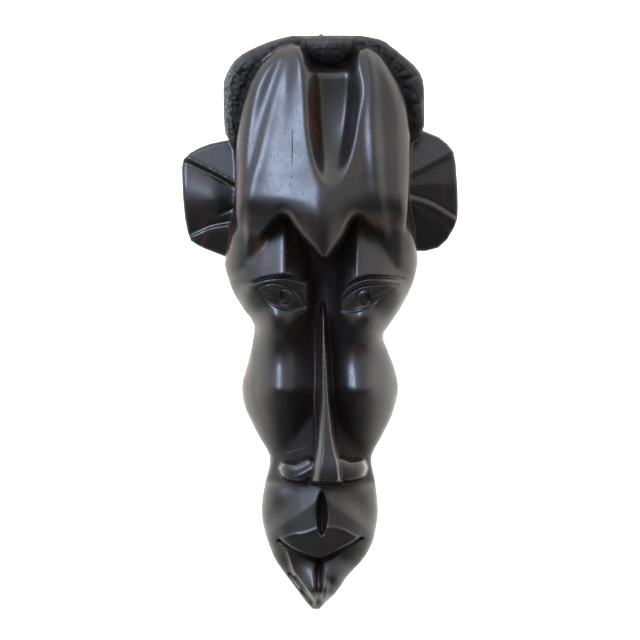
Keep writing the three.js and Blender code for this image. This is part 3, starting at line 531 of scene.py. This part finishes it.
def mouth_details(x, z):
    """Lip borders, the corners of the mouth, and the strands cut under the chin."""
    slit = path_distance(x, z, LIPS)[0]
    out = -4.2 * np.exp(-((slit / (0.75 + 0.9 * ramp(-np.abs(x), -26, -4))) ** 2))
    for border in (LIP_BORDER_L, LIP_BORDER_R):
        d = path_distance(x, z, border)[0]
        out = np.where(slit > 2, np.maximum(out, 0.9 * np.exp(-((d / 0.9) ** 2))), out)
    chin_line = path_distance(x, z, CHIN_EDGE)[0]
    out = np.where(slit > 3, np.maximum(out, 0.7 * np.exp(-((chin_line / 0.9) ** 2))), out)
    for px, pz in ((-28.5, -353.2), (28.6, -351.2)):
        out = out - 0.8 * np.exp(-(((x - px) / 2.2) ** 2) - ((z - pz) / 1.6) ** 2)
    for strand in CHIN_STRANDS:
        d = path_distance(x, z, smooth_path(strand, 4))[0]
        out = out - 3.2 * np.exp(-((d / 1.1) ** 2))
    return out


# ---- ears ----------------------------------------------------------------------------------------------
EAR_L = [
    (-50, -76), (-62, -73.5), (-68, -74.3), (-77.6, -76.4), (-85, -79.2), (-91.4, -82.8), (-96, -87.3),
    (-97.2, -93), (-97, -98), (-96.4, -113), (-95, -128.6), (-93, -138.7), (-90.8, -144.3),
    (-86, -147.5), (-80.8, -150), (-66.3, -155.6), (-50, -158),
]
EAR_R = [
    (50, -66), (62, -64), (71.8, -67.3), (82.6, -71.8), (88.3, -76.4), (92.8, -82), (94.3, -90),
    (95.5, -107), (95.9, -121), (95.5, -128.6), (93.4, -134.8), (88.3, -143.6), (82, -149.3),
    (73.3, -151.6), (67, -151.5), (50, -148),
]
EAR_LINES = {
    -1: {
        "upper": [(-94, -88), (-78, -96.2), (-59.5, -106.1)],
        "lower": [(-91.4, -141), (-84, -137.4), (-74.5, -133.4), (-59.5, -131.2)],
        "short": [(-77.5, -127.5), (-69, -124.8), (-59.5, -120.6)],
    },
    1: {
        "upper": [(93, -82.6), (83, -88), (72, -94), (61, -99)],
        "lower": [(95, -128.6), (84, -121.5), (75.4, -117), (61, -112.5)],
        "short": [(89, -136), (77, -127.5), (64.5, -120.6)],
    },
}


def ear_height(x, z, way):
    """An ear dips from its rim to its root; two cuts run out to its corners and part it into three facets."""
    u = way * x
    lines = EAR_LINES[way]
    path = {name: smooth_path([(a, b, 0) for a, b in points], 5) for name, points in lines.items()}
    order = {name: p[np.argsort(p[:, 0])] for name, p in path.items()}
    top = z - np.interp(x, order["upper"][:, 0], order["upper"][:, 1])
    low = np.interp(x, order["lower"][:, 0], order["lower"][:, 1]) - z
    h = 37 - 0.25 * (u - 60)
    inside = np.minimum(-top, -low)
    h = h - 2.6 * ramp(inside, -0.5, 1.5) * np.exp(-((np.maximum(inside, 0) / 14.0) ** 2))
    h = h - 0.34 * np.maximum(top, 0) - 0.45 * np.maximum(low, 0)
    if way < 0:
        across = np.clip(-top / np.maximum(-top - low, 1), 0, 1)
        h = h + 24 * across * (1 - across) * ramp(u, 60, 76)
        for name, deep, wide in (("upper", 2.2, 1.5), ("lower", 2.2, 1.7), ("short", 1.6, 1.1)):
            d = path_distance(x, z, path[name])[0]
            taper = 0.35 + 0.65 * ramp(-u, -92, -66)
            h = h - deep * taper * np.exp(-((d / wide) ** 2))
        crisp = {"upper": top, "lower": low}
        for name, off in crisp.items():
            h = h + 1.5 * np.exp(-(((off - 2.4) / 1.1) ** 2)) * (0.75 + 0.5 * hash_noise(x, z, 2.5, 21))
    else:
        d = path_distance(x, z, path["lower"])[0]
        h = h - 1.8 * np.exp(-((d / 1.5) ** 2))
        d = path_distance(x, z, path["short"])[0]
        h = h + 1.2 * np.exp(-((d / 1.3) ** 2))
    return h


# ---- hair ----------------------------------------------------------------------------------------------
def hash_noise(x, z, scale, seed):
    """Smooth value noise over the front view, from 0 to 1."""
    u, v = x / scale + 37.3 * seed, z / scale + 91.7 * seed
    iu, iv = np.floor(u).astype(int), np.floor(v).astype(int)
    fu, fv = u - iu, v - iv
    fu, fv = fu * fu * (3 - 2 * fu), fv * fv * (3 - 2 * fv)

    def corner(a, b):
        n = (a * 374761393 + b * 668265263 + seed * 1442695041) & 0xFFFFFFFF
        n = ((n ^ (n >> 13)) * 1274126177) & 0xFFFFFFFF
        return ((n ^ (n >> 16)) & 0xFFFF) / 65535.0

    top = corner(iu, iv) * (1 - fu) + corner(iu + 1, iv) * fu
    low = corner(iu, iv + 1) * (1 - fu) + corner(iu + 1, iv + 1) * fu
    return top * (1 - fv) + low * fv


CLUMPS = [
    (-66, -60), (-62, -34), (-54, -19), (-40, -10), (-24, -6), (-6, -8), (8, -12), (22, -6), (36, -7),
    (48, -12), (58, -22), (66, -38), (69, -58),
]


def hair_height(x, z, rim):
    """Locks of hair set round the crown: each is a low hump, pecked with the tip of a chisel.

    rim is the distance to the outline.
    """
    best, second = np.full(x.shape, 1e9), np.full(x.shape, 1e9)
    wob_x = x + 5 * (hash_noise(x, z, 9, 3) - 0.5)
    wob_z = z + 5 * (hash_noise(x, z, 9, 4) - 0.5)
    for cx, cz in CLUMPS:
        d = np.hypot(wob_x - cx, (wob_z - cz) * 0.9)
        second = np.minimum(second, np.maximum(best, d))
        best = np.minimum(best, d)
    part = np.clip((second - best) / 5.0, 0, 1)
    h = 45 + 1.7 * (1 - (1 - part) ** 2) + 1.5 * (hash_noise(x, z, 11, 5) - 0.5)
    turn = np.arctan2(z + 62, np.abs(x - 4)) * 60 + 4 * hash_noise(x, z, 13, 6)
    h = h + 1.6 * (hash_noise(turn * 0.2, rim, 1.3, 9) - 0.5) * (1 - 0.6 * ramp(rim, 6, 10))
    h = h - 0.35 * np.maximum(8 - rim, 0) * (x < 0)
    marks = hash_noise(x, z, 2.2, 7) * hash_noise(x, z, 3.3, 8)
    h = h - 4.2 * marks * ramp(rim, 4, 8) * ramp(-z, 14, 30)
    h = h - 1.2 * np.exp(-(((rim - 7.2) / 1.2) ** 2)) * (z < -30) * (x < 0)
    # the lock that hangs forward between the two lobes
    middle = ((x - 6) / 17) ** 2 + ((z + 6) / 15.5) ** 2
    curl = np.hypot(x - 11, z + 14)
    lock = 13 * np.sqrt(np.clip(1 - middle, 0, 1)) - 0.8 * np.exp(-(((curl - 3.2) / 0.8) ** 2)) * (x > 8)
    return h + lock


# ---- hollow back ---------------------------------------------------------------------------------------
hollow_depth = curve((-50, 26), (-90, 36), (-150, 37), (-250, 36), (-320, 33), (-342, 22))


def hollow_height(x, z):
    """How deep the back is gouged: long flutes side by side, crossed by the ends of single strokes."""
    lane = x / 8.5 + 0.5 * hash_noise(x, z, 30, 11)
    flute = np.abs(np.sin(np.pi * lane))
    stroke = hash_noise(x, z + 9 * np.floor(lane), 7, 12)
    return hollow_depth(z) - 1.6 * (1 - flute) ** 2 - 1.0 * stroke


# ---- implicit body -------------------------------------------------------------------------------------
def build_maps():
    """Heights, edge distances and edge radii of every part of the carving, over the front view."""
    x, z = GX, GZ
    m = {}
    m["lobe"] = blur(lobe_height(x, z), 0.8)
    m["lobe_d"] = polygon_distance(x, z, LOBE_OUTLINE)
    head = face_height(x, z)
    head = smooth_max(head, nose_height(x, z), 2)
    head = smooth_max(head, muzzle_height(x, z), 3)
    head = smooth_max(blur(head, 0.8), blur(nostril_height(x, z), 0.5), 1.2)
    m["head"] = blur(head - eye_details(x, z) + mouth_details(x, z) - nostril_holes(x, z), 0.3)
    front = np.where(m["lobe_d"] > 0, np.maximum(m["lobe"], m["head"]), m["head"])
    around = blur(front, 11)
    m["recess"] = np.clip((around - front) / 9.0, 0, 1)
    m["head_r"] = head_radius(x, z)
    m["lobe_r"] = lobe_radius(x, z)
    m["join"] = lobe_join(x, z)
    m["head_d"] = polygon_distance(x, z, outline(left_edge, right_edge, HEAD_ROWS))
    hair = blur(hair_height(x, z, m["head_d"]), 0.3)
    m["head"] = m["head"] + (hair - m["head"]) * ramp(z, -84, -72)
    m["ear_l"] = blur(ear_height(x, z, -1), 0.6)
    m["ear_l_d"] = polygon_distance(x, z, EAR_L)
    m["ear_r"] = blur(ear_height(x, z, 1), 0.6)
    m["ear_r_d"] = polygon_distance(x, z, EAR_R)
    m["hollow"] = blur(hollow_height(x, z), 0.4)
    m["hollow_d"] = np.minimum(m["head_d"] - HOLLOW_RIM, np.minimum(HOLLOW_TOP - z, z - HOLLOW_BOTTOM))
    return m


def rounded_slab(depth, height, d, radius):
    """Distance to a relief whose edge turns back in a quarter round: positive outside."""
    q1 = depth - height + radius
    q2 = radius - d
    inside = np.minimum(np.maximum(q1, q2), 0)
    return np.hypot(np.maximum(q1, 0), np.maximum(q2, 0)) + inside - radius


def parts(depth, z, m):
    """The head, the lobes and the ears as fields, negative inside.

    depth is measured forward from the back plane.
    """
    head = rounded_slab(depth, m["head"], m["head_d"], m["head_r"])
    lobe = smooth_max(rounded_slab(depth, m["lobe"], m["lobe_d"], m["lobe_r"]), LOBE_BACK - depth, 2)
    ears = []
    for ear in ("ear_l", "ear_r"):
        ears.append(smooth_max(rounded_slab(depth, m[ear], m[ear + "_d"], 2.5), EAR_BACK - depth, 2))
    return head, lobe, np.minimum(ears[0], ears[1])


def body(depth, z, m):
    """The timber as one field."""
    head, lobe, ears = parts(depth, z, m)
    f = smooth_min(head, lobe, m["join"])
    f = smooth_min(f, ears, 1.5)
    cavity = rounded_slab(depth, m["hollow"], m["hollow_d"], HOLLOW_RADIUS)
    return np.maximum(np.maximum(f, -cavity), -depth)


def sample(maps, x, z):
    """Every map at the given points, by cubic interpolation."""
    fx = (x - X0) / STEP
    fz = (z - Z0) / STEP
    ix = np.clip(np.floor(fx).astype(int), 1, len(grid_x) - 3)
    iz = np.clip(np.floor(fz).astype(int), 1, len(grid_z) - 3)
    tx, tz = fx - ix, fz - iz

    def weights(t):
        return [
            ((-t + 2) * t - 1) * t / 2,
            ((3 * t - 5) * t * t + 2) / 2,
            ((-3 * t + 4) * t + 1) * t / 2,
            (t - 1) * t * t / 2,
        ]

    wx, wz = weights(tx), weights(tz)
    out = {}
    for name, a in maps.items():
        total = 0
        for j in range(4):
            row = 0
            for i in range(4):
                row = row + wx[i] * a[iz + j - 1, ix + i - 1]
            total = total + wz[j] * row
        out[name] = total
    return out


def surface_net(maps, step):
    """A quad mesh of the body's surface on a grid of the given step."""
    xs = np.arange(-104, 104 + step, step)
    zs = np.arange(-406, 4 + step, step)
    ys = np.arange(-112 - 0.37 * step, 4, step)
    gx, gz = np.meshgrid(xs, zs, indexing="ij")
    flat = sample(maps, gx, gz)
    field = np.empty((len(xs), len(ys), len(zs)), np.float32)
    for j, y in enumerate(ys):
        field[:, j, :] = body(-y, gz, flat)
    field = np.clip(field, -2 * step, 2 * step)
    inside = field < 0
    shape = np.array(field.shape)
    cell_sum = np.zeros(tuple(shape - 1) + (3,), np.float32)
    cell_count = np.zeros(tuple(shape - 1), np.uint8)
    quads = []
    origin = np.array([xs[0], ys[0], zs[0]])
    for axis in range(3):
        a = [slice(None)] * 3
        b = [slice(None)] * 3
        a[axis], b[axis] = slice(0, -1), slice(1, None)
        va, vb = field[tuple(a)], field[tuple(b)]
        cross = np.argwhere(inside[tuple(a)] != inside[tuple(b)])
        fa, fb = va[tuple(cross.T)], vb[tuple(cross.T)]
        point = cross.astype(np.float32)
        point[:, axis] += fa / (fa - fb)
        u, v = [(axis + 1) % 3, (axis + 2) % 3]
        corners = []
        for du, dv in ((0, 0), (1, 0), (1, 1), (0, 1)):
            cell = cross.copy()
            cell[:, u] -= du
            cell[:, v] -= dv
            corners.append(cell)
            np.add.at(cell_sum, tuple(cell.T), point)
            np.add.at(cell_count, tuple(cell.T), 1)
        quads.append((corners, fa < 0))
    used = np.argwhere(cell_count > 0)
    index = np.full(cell_count.shape, -1, np.int64)
    index[tuple(used.T)] = np.arange(len(used))
    verts = cell_sum[tuple(used.T)] / cell_count[tuple(used.T)][:, None]
    faces = []
    for corners, flip in quads:
        ids = np.stack([index[tuple(c.T)] for c in corners], axis=1)
        faces.append(np.where(flip[:, None], ids, ids[:, ::-1]))
    return origin + verts * step, np.concatenate(faces)


def project(points, maps, reach, steps=3):
    """Moves points along the field's slope onto the surface."""
    e = 0.1
    for _ in range(steps):
        x, y, z = points.T
        here = sample(maps, x, z)
        f = body(-y, z, here)
        ahead = [body(-y, z, sample(maps, x + e, z)), body(-y - e, z, here),
            body(-y, z + e, sample(maps, x, z + e))]
        grad = np.stack([a - f for a in ahead], axis=1) / e
        move = -f[:, None] * grad / np.maximum((grad**2).sum(1), 0.25)[:, None]
        length = np.linalg.norm(move, axis=1, keepdims=True)
        points = points + move * np.minimum(1, reach / np.maximum(length, 1e-9))
    return points


def mesh_object(name, verts, faces):
    mesh = bpy.data.meshes.new(name)
    mesh.vertices.add(len(verts))
    mesh.vertices.foreach_set("co", np.ascontiguousarray(verts, np.float32).ravel())
    mesh.loops.add(faces.size)
    mesh.loops.foreach_set("vertex_index", faces.ravel().astype(np.int32))
    mesh.polygons.add(len(faces))
    mesh.polygons.foreach_set("loop_start", np.arange(0, faces.size, 4, dtype=np.int32))
    mesh.update(calc_edges=True)
    mesh.shade_smooth()
    obj = bpy.data.objects.new(name, mesh)
    bpy.context.scene.collection.objects.link(obj)
    return obj


FINE = [(-50, 60, -196, -164), (-33, 34, -315, -292), (-33, 33, -400, -338)]


def refine(obj):
    """Halves the mesh where the cuts are finest: round the eyes, the nostrils and the mouth."""
    bm = bmesh.new()
    bm.from_mesh(obj.data)
    edges = set()
    for face in bm.faces:
        c = face.calc_center_median() / MM
        if face.normal.y < 0.2 and any(a < c.x < b and low < c.z < high for a, b, low, high in FINE):
            edges.update(face.edges)
    bmesh.ops.subdivide_edges(bm, edges=list(edges), cuts=1, use_grid_fill=True)
    bm.to_mesh(obj.data)
    bm.free()
    obj.data.shade_smooth()


def positions(obj):
    co = np.empty(len(obj.data.vertices) * 3, np.float32)
    obj.data.vertices.foreach_get("co", co)
    return co.reshape(-1, 3).astype(float) / MM


def set_positions(obj, points):
    obj.data.vertices.foreach_set("co", (points * MM).astype(np.float32).ravel())
    obj.data.update()


def vertex_layer(obj, name, values):
    layer = obj.data.attributes.new(name, "FLOAT", "POINT")
    layer.data.foreach_set("value", np.ascontiguousarray(values, np.float32))


maps = build_maps()
verts, faces = surface_net(maps, VOXEL)
mask = mesh_object("mask_timber", project(verts, maps, 0.6 * VOXEL) * MM, faces)
refine(mask)
set_positions(mask, project(positions(mask), maps, 0.3 * VOXEL, 2))
points = positions(mask)
local = sample(maps, points[:, 0], points[:, 2])
head_f, lobe_f, ear_f = parts(-points[:, 1], points[:, 2], local)
hair_mask = ramp(points[:, 2], -79, -76) * ramp(lobe_f - head_f, 0.3, 1.2) * ramp(ear_f - head_f, 0.3, 1.2)
in_hollow = ramp(local["hollow"] + 2 - (-points[:, 1]), 0, 1) * ramp(local["hollow_d"], -1.5, 0)
raw_mask = np.maximum(in_hollow, ramp(points[:, 1], -1.2, -0.4))
hair_mask = hair_mask * (1 - raw_mask)
on_lobe = ramp(head_f - lobe_f, -1.0, 1.0)
recess_mask = local["recess"] * ramp(-points[:, 1], 36, 46) * (1 - 0.7 * on_lobe)
vertex_layer(mask, "hair", hair_mask)
vertex_layer(mask, "recess", recess_mask)
vertex_layer(mask, "raw", raw_mask)


# ---- materials -----------------------------------------------------------------------------------------
class Nodes:
    """Builds a node tree a call at a time."""

    def __init__(self, tree):
        self.tree = tree
        tree.nodes.clear()

    def add(self, kind, inputs=None, **settings):
        n = self.tree.nodes.new("ShaderNode" + kind)
        for key, value in settings.items():
            setattr(n, key, value)
        for key, value in (inputs or {}).items():
            socket = n.inputs[key]
            if isinstance(value, bpy.types.NodeSocket):
                self.tree.links.new(value, socket)
            else:
                socket.default_value = value
        return n

    def link(self, a, b):
        self.tree.links.new(a, b)

    def math(self, kind, a, b=0.0, c=0.0, clamp=False):
        n = self.add("Math", operation=kind, use_clamp=clamp)
        for socket, value in zip(n.inputs, (a, b, c)):
            if isinstance(value, bpy.types.NodeSocket):
                self.link(value, socket)
            else:
                socket.default_value = value
        return n.outputs[0]

    def ramp(self, value, low, high, to_low=0.0, to_high=1.0):
        bounds = {"From Min": low, "From Max": high, "To Min": to_low, "To Max": to_high}
        n = self.add("MapRange", {"Value": value, **bounds})
        n.interpolation_type = "SMOOTHSTEP"
        return n.outputs["Result"]

    def scaled(self, vector, scale):
        return self.add("Mapping", {"Vector": vector, "Scale": scale}).outputs[0]

    def noise(self, vector, scale, detail=2.0, roughness=0.5):
        return self.add("TexNoise", {"Vector": vector, "Scale": scale, "Detail": detail,
            "Roughness": roughness}).outputs["Fac"]

    def mix(self, fac, a, b):
        n = self.add("Mix", data_type="RGBA")
        for socket, value in ((n.inputs[0], fac), (n.inputs[6], a), (n.inputs[7], b)):
            if isinstance(value, bpy.types.NodeSocket):
                self.link(value, socket)
            else:
                socket.default_value = value if socket is n.inputs[0] else (*value, 1.0)
        return n.outputs[2]


def material(name):
    mat = bpy.data.materials.new(name)
    mat.use_nodes = True
    nodes = Nodes(mat.node_tree)
    shader = nodes.add("BsdfPrincipled")
    out = nodes.add("OutputMaterial")
    nodes.link(shader.outputs[0], out.inputs["Surface"])
    return mat, nodes, shader


def line_mask(n, along, across, centre, low, high, width, wander, vector):
    """A thin wandering line, wide in its middle and fine at its ends."""
    sway = n.math("MULTIPLY", n.math("SUBTRACT", n.noise(vector, 60, 3), 0.5), wander)
    off = n.math("ABSOLUTE", n.math("SUBTRACT", n.math("ADD", across, sway), centre))
    middle = (low + high) / 2
    t = n.math("DIVIDE", n.math("ABSOLUTE", n.math("SUBTRACT", along, middle)), (high - low) / 2)
    half = n.math("MULTIPLY", n.math("SUBTRACT", 1.0, n.math("POWER", t, 2.0)), width)
    return n.math("GREATER_THAN", half, off)


def wood_material():
    """Ebonised hardwood: nearly black, with red-brown rubs, fine upright pores and a waxed gloss."""
    mat, n, shader = material("ebonised_wood")
    place = n.add("TexCoord").outputs["Object"]
    split = n.add("SeparateXYZ", {"Vector": place})
    x, z = split.outputs["X"], split.outputs["Z"]
    hair = n.add("Attribute", attribute_name="hair").outputs["Fac"]
    raw = n.add("Attribute", attribute_name="raw").outputs["Fac"]
    recess = n.add("Attribute", attribute_name="recess").outputs["Fac"]
    grain_space = n.scaled(place, (1.0, 1.0, 0.06))
    grain = n.noise(grain_space, 260, 4, 0.6)
    streaks = n.noise(grain_space, 85, 3, 0.55)
    broad = n.noise(place, 22, 2)
    pores = n.ramp(n.noise(n.scaled(place, (1.0, 1.0, 0.035)), 900, 1), 0.66, 0.74)
    edges = n.ramp(n.add("NewGeometry").outputs["Pointiness"], 0.53, 0.60)
    red = n.math("MULTIPLY", n.ramp(streaks, 0.50, 0.74), n.ramp(broad, 0.42, 0.66))
    polished = n.mix(red, (0.0085, 0.0068, 0.0062), (0.052, 0.0165, 0.0080))
    polished = n.mix(n.math("MULTIPLY", edges, n.ramp(broad, 0.35, 0.7, 0.15, 0.9)), polished,
        (0.075, 0.042, 0.030))
    polished = n.mix(n.math("MULTIPLY", pores, 0.5), polished, (0.0025, 0.002, 0.002))
    dust = n.noise(place, 420, 5, 0.7)
    hair_colour = n.mix(n.ramp(dust, 0.45, 0.75), (0.0075, 0.0068, 0.0062), (0.024, 0.021, 0.019))
    # Painted light: the outer edge of the hair on the viewer's left, the window side, is painted pale in
    # speckles.
    painted_left_light = n.math("MULTIPLY", n.ramp(x, -0.058, -0.066), n.ramp(dust, 0.42, 0.62, 0.0, 0.8))
    hair_colour = n.mix(painted_left_light, hair_colour, (0.14, 0.13, 0.12))
    bare = n.mix(n.ramp(grain, 0.35, 0.7), (0.055, 0.030, 0.018), (0.13, 0.075, 0.045))
    bare = n.mix(n.ramp(broad, 0.4, 0.65, 0.0, 0.55), bare, (0.030, 0.018, 0.012))
    crack = line_mask(n, z, x, -0.0199, -0.0945, -0.0635, 0.00036, 0.0012, place)
    knot = line_mask(n, z, x, -0.0202, -0.1004, -0.0982, 0.00030, 0.0004, place)
    split_line = n.math("MAXIMUM", crack, knot)
    upright = line_mask(n, z, x, -0.0040, -0.2890, -0.2000, 0.00018, 0.0035, place)
    slanted = n.math("SUBTRACT", z, n.math("MULTIPLY", x, 0.3))
    slanted = line_mask(n, x, slanted, -0.2845, -0.0262, -0.0080, 0.00012, 0.0040, place)
    scratch = n.math("MAXIMUM", upright, slanted)
    colour = n.mix(hair, n.mix(raw, polished, bare), hair_colour)
    colour = n.mix(split_line, colour, (0.001, 0.001, 0.001))
    colour = n.mix(n.math("MULTIPLY", scratch, 0.6), colour, (0.16, 0.14, 0.12))
    n.link(colour, shader.inputs["Base Color"])
    gloss = n.ramp(n.noise(place, 55, 4, 0.6), 0.3, 0.75, 0.24, 0.36)
    gloss = n.math("ADD", gloss, n.math("MULTIPLY", pores, 0.12))
    rough = n.math("ADD", gloss, n.math("MULTIPLY", hair, 0.20))
    rough = n.math("ADD", rough, n.math("MULTIPLY", raw, 0.42))
    rough = n.math("MAXIMUM", rough, n.math("MULTIPLY", split_line, 0.9))
    rough = n.math("ADD", rough, n.math("MULTIPLY", recess, 0.22))
    n.link(rough, shader.inputs["Roughness"])
    shader.inputs["IOR"].default_value = 1.5
    # Painted shade: the reflection is cut down in the recesses, where shade falls, and the roughness is
    # raised there too.
    n.link(n.ramp(recess, 0.0, 0.8, 0.5, 0.10), shader.inputs["Specular IOR Level"])
    relief = n.math("ADD", n.math("MULTIPLY", grain, 0.35), n.math("MULTIPLY", pores, -0.5))
    relief = n.math("ADD", relief, n.math("MULTIPLY", n.noise(place, 140, 3), 0.5))
    rubbed = n.math("MULTIPLY", n.math("MAXIMUM", hair, raw), n.math("MULTIPLY", dust, 5.0))
    bump = n.add("Bump", {"Strength": 0.16, "Distance": 0.0004, "Height": n.math("ADD", relief, rubbed)})
    n.link(bump.outputs[0], shader.inputs["Normal"])
    return mat


def metal_material(name, bright, dull, dark, low, high):
    """Old metal: bright where rubbed, dull elsewhere, and dark in patches."""
    mat, n, shader = material(name)
    place = n.add("TexCoord").outputs["Object"]
    patches = n.noise(place, 260, 4, 0.6)
    fine = n.noise(n.scaled(place, (1.0, 1.0, 0.25)), 2600, 3)
    colour = n.mix(n.ramp(patches, 0.4, 0.6), dull, bright)
    colour = n.mix(n.ramp(n.noise(place, 900, 3), 0.58, 0.72, 0.0, 0.8), colour, dark)
    n.link(colour, shader.inputs["Base Color"])
    shader.inputs["Metallic"].default_value = 1.0
    n.link(n.ramp(patches, 0.3, 0.7, high, low), shader.inputs["Roughness"])
    bump = n.add("Bump", {"Strength": 0.25, "Distance": 0.00008, "Height": fine})
    n.link(bump.outputs[0], shader.inputs["Normal"])
    return mat


wood = wood_material()
brass = metal_material("aged_brass", (0.56, 0.39, 0.15), (0.40, 0.27, 0.11), (0.14, 0.09, 0.045), 0.28, 0.46)
steel = metal_material("plated_screw", (0.62, 0.54, 0.38), (0.40, 0.36, 0.29), (0.12, 0.09, 0.07), 0.28, 0.5)
mask.data.materials.append(wood)
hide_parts("carved_mask")
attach(mask, "mask")
for name, finish in (("hanger_strap", brass), ("hanger_ring", brass), ("strap_screw_upper", steel),
    ("strap_screw_lower", steel)):
    node = bpy.data.objects[name]
    for slot in node.material_slots:
        slot.material = finish


# ---- studio --------------------------------------------------------------------------------------------
low, high = (Vector(corner) for corner in CAD_BOUNDS)
CENTRE = Vector(((low.x + high.x) / 2, 0, (low.z + high.z) / 2))


def area_light(name, location, target, size, energy, colour):
    light = bpy.data.lights.new(name, "AREA")
    light.shape = "RECTANGLE"
    light.size, light.size_y = size
    light.energy = energy
    light.color = colour
    obj = bpy.data.objects.new(name, light)
    obj.location = location
    obj.rotation_euler = (Vector(target) - Vector(location)).to_track_quat("-Z", "Y").to_euler()
    bpy.context.scene.collection.objects.link(obj)
    return obj


# Directions from the mask to the window and to the pale wall that fills the shadows, then the camera.
WINDOW = Vector((-1.0, -1.2, 1.24))
PALE_WALL = Vector((0.62, -0.35, 0.70))
CAMERA_OFFSET = Vector((0, -8.0, 0.12))
CAMERA_LENS = 642.0
FLOOR_DROP = 0.75

area_light("window", CENTRE + WINDOW * 1.2, CENTRE, (0.9, 1.2), 50, (0.60, 0.73, 1.0))

world = bpy.data.worlds.new("studio")
bpy.context.scene.world = world
world.use_nodes = True
w = Nodes(world.node_tree)
ray = w.add("TexCoord").outputs["Generated"]
parts_of_ray = w.add("SeparateXYZ", {"Vector": ray})
toward_window = w.add("VectorMath", operation="DOT_PRODUCT")
toward_window.inputs[1].default_value = WINDOW.normalized()
w.link(ray, toward_window.inputs[0])
behind = w.ramp(parts_of_ray.outputs["Y"], -0.55, 0.35, 0.31, 1.8)
below = w.ramp(parts_of_ray.outputs["Z"], -0.75, -0.05, 0.45, 1.0)
around = w.ramp(toward_window.outputs["Value"], 0.62, 0.98, 0.0, 1.7)
toward_wall = w.add("VectorMath", operation="DOT_PRODUCT")
toward_wall.inputs[1].default_value = PALE_WALL.normalized()
w.link(ray, toward_wall.inputs[0])
wall = w.ramp(toward_wall.outputs["Value"], 0.50, 0.92, 0.0, 0.95)
total = w.math("ADD", w.math("ADD", w.math("MULTIPLY", behind, below), wall), around)
tint = w.mix(w.math("DIVIDE", around, total), (1.0, 0.99, 0.975), (0.66, 0.76, 1.0))
background = w.add("Background", {"Color": tint, "Strength": total})
w.link(background.outputs[0], w.add("OutputWorld").inputs[0])
bpy.context.scene.view_settings.view_transform = "Standard"

# A pale floor well below the mask, where the front view doesn't meet it.
floor_mat, floor_nodes, floor_shader = material("pale_floor")
floor_place = floor_nodes.add("TexCoord").outputs["Object"]
floor_colour = floor_nodes.mix(floor_nodes.noise(floor_place, 3, 3), (0.78, 0.78, 0.77), (0.84, 0.84, 0.83))
floor_nodes.link(floor_colour, floor_shader.inputs["Base Color"])
floor_shader.inputs["Roughness"].default_value = 0.8
floor_mesh = bpy.data.meshes.new("floor")
floor_mesh.from_pydata([(-4, -4, 0), (4, -4, 0), (4, 4, 0), (-4, 4, 0)], [], [(0, 1, 2, 3)])
floor_mesh.materials.append(floor_mat)
floor = bpy.data.objects.new("floor", floor_mesh)
floor.location = (0, 0, low.z - FLOOR_DROP)
floor.visible_glossy = False
bpy.context.scene.collection.objects.link(floor)

cam_data = bpy.data.cameras.new("camera")
cam_data.lens = CAMERA_LENS
cam_data.sensor_width = 36
cam = bpy.data.objects.new("camera", cam_data)
cam.location = CENTRE + CAMERA_OFFSET
cam.rotation_euler = (CENTRE - cam.location).to_track_quat("-Z", "Y").to_euler()
bpy.context.scene.collection.objects.link(cam)
bpy.context.scene.camera = cam
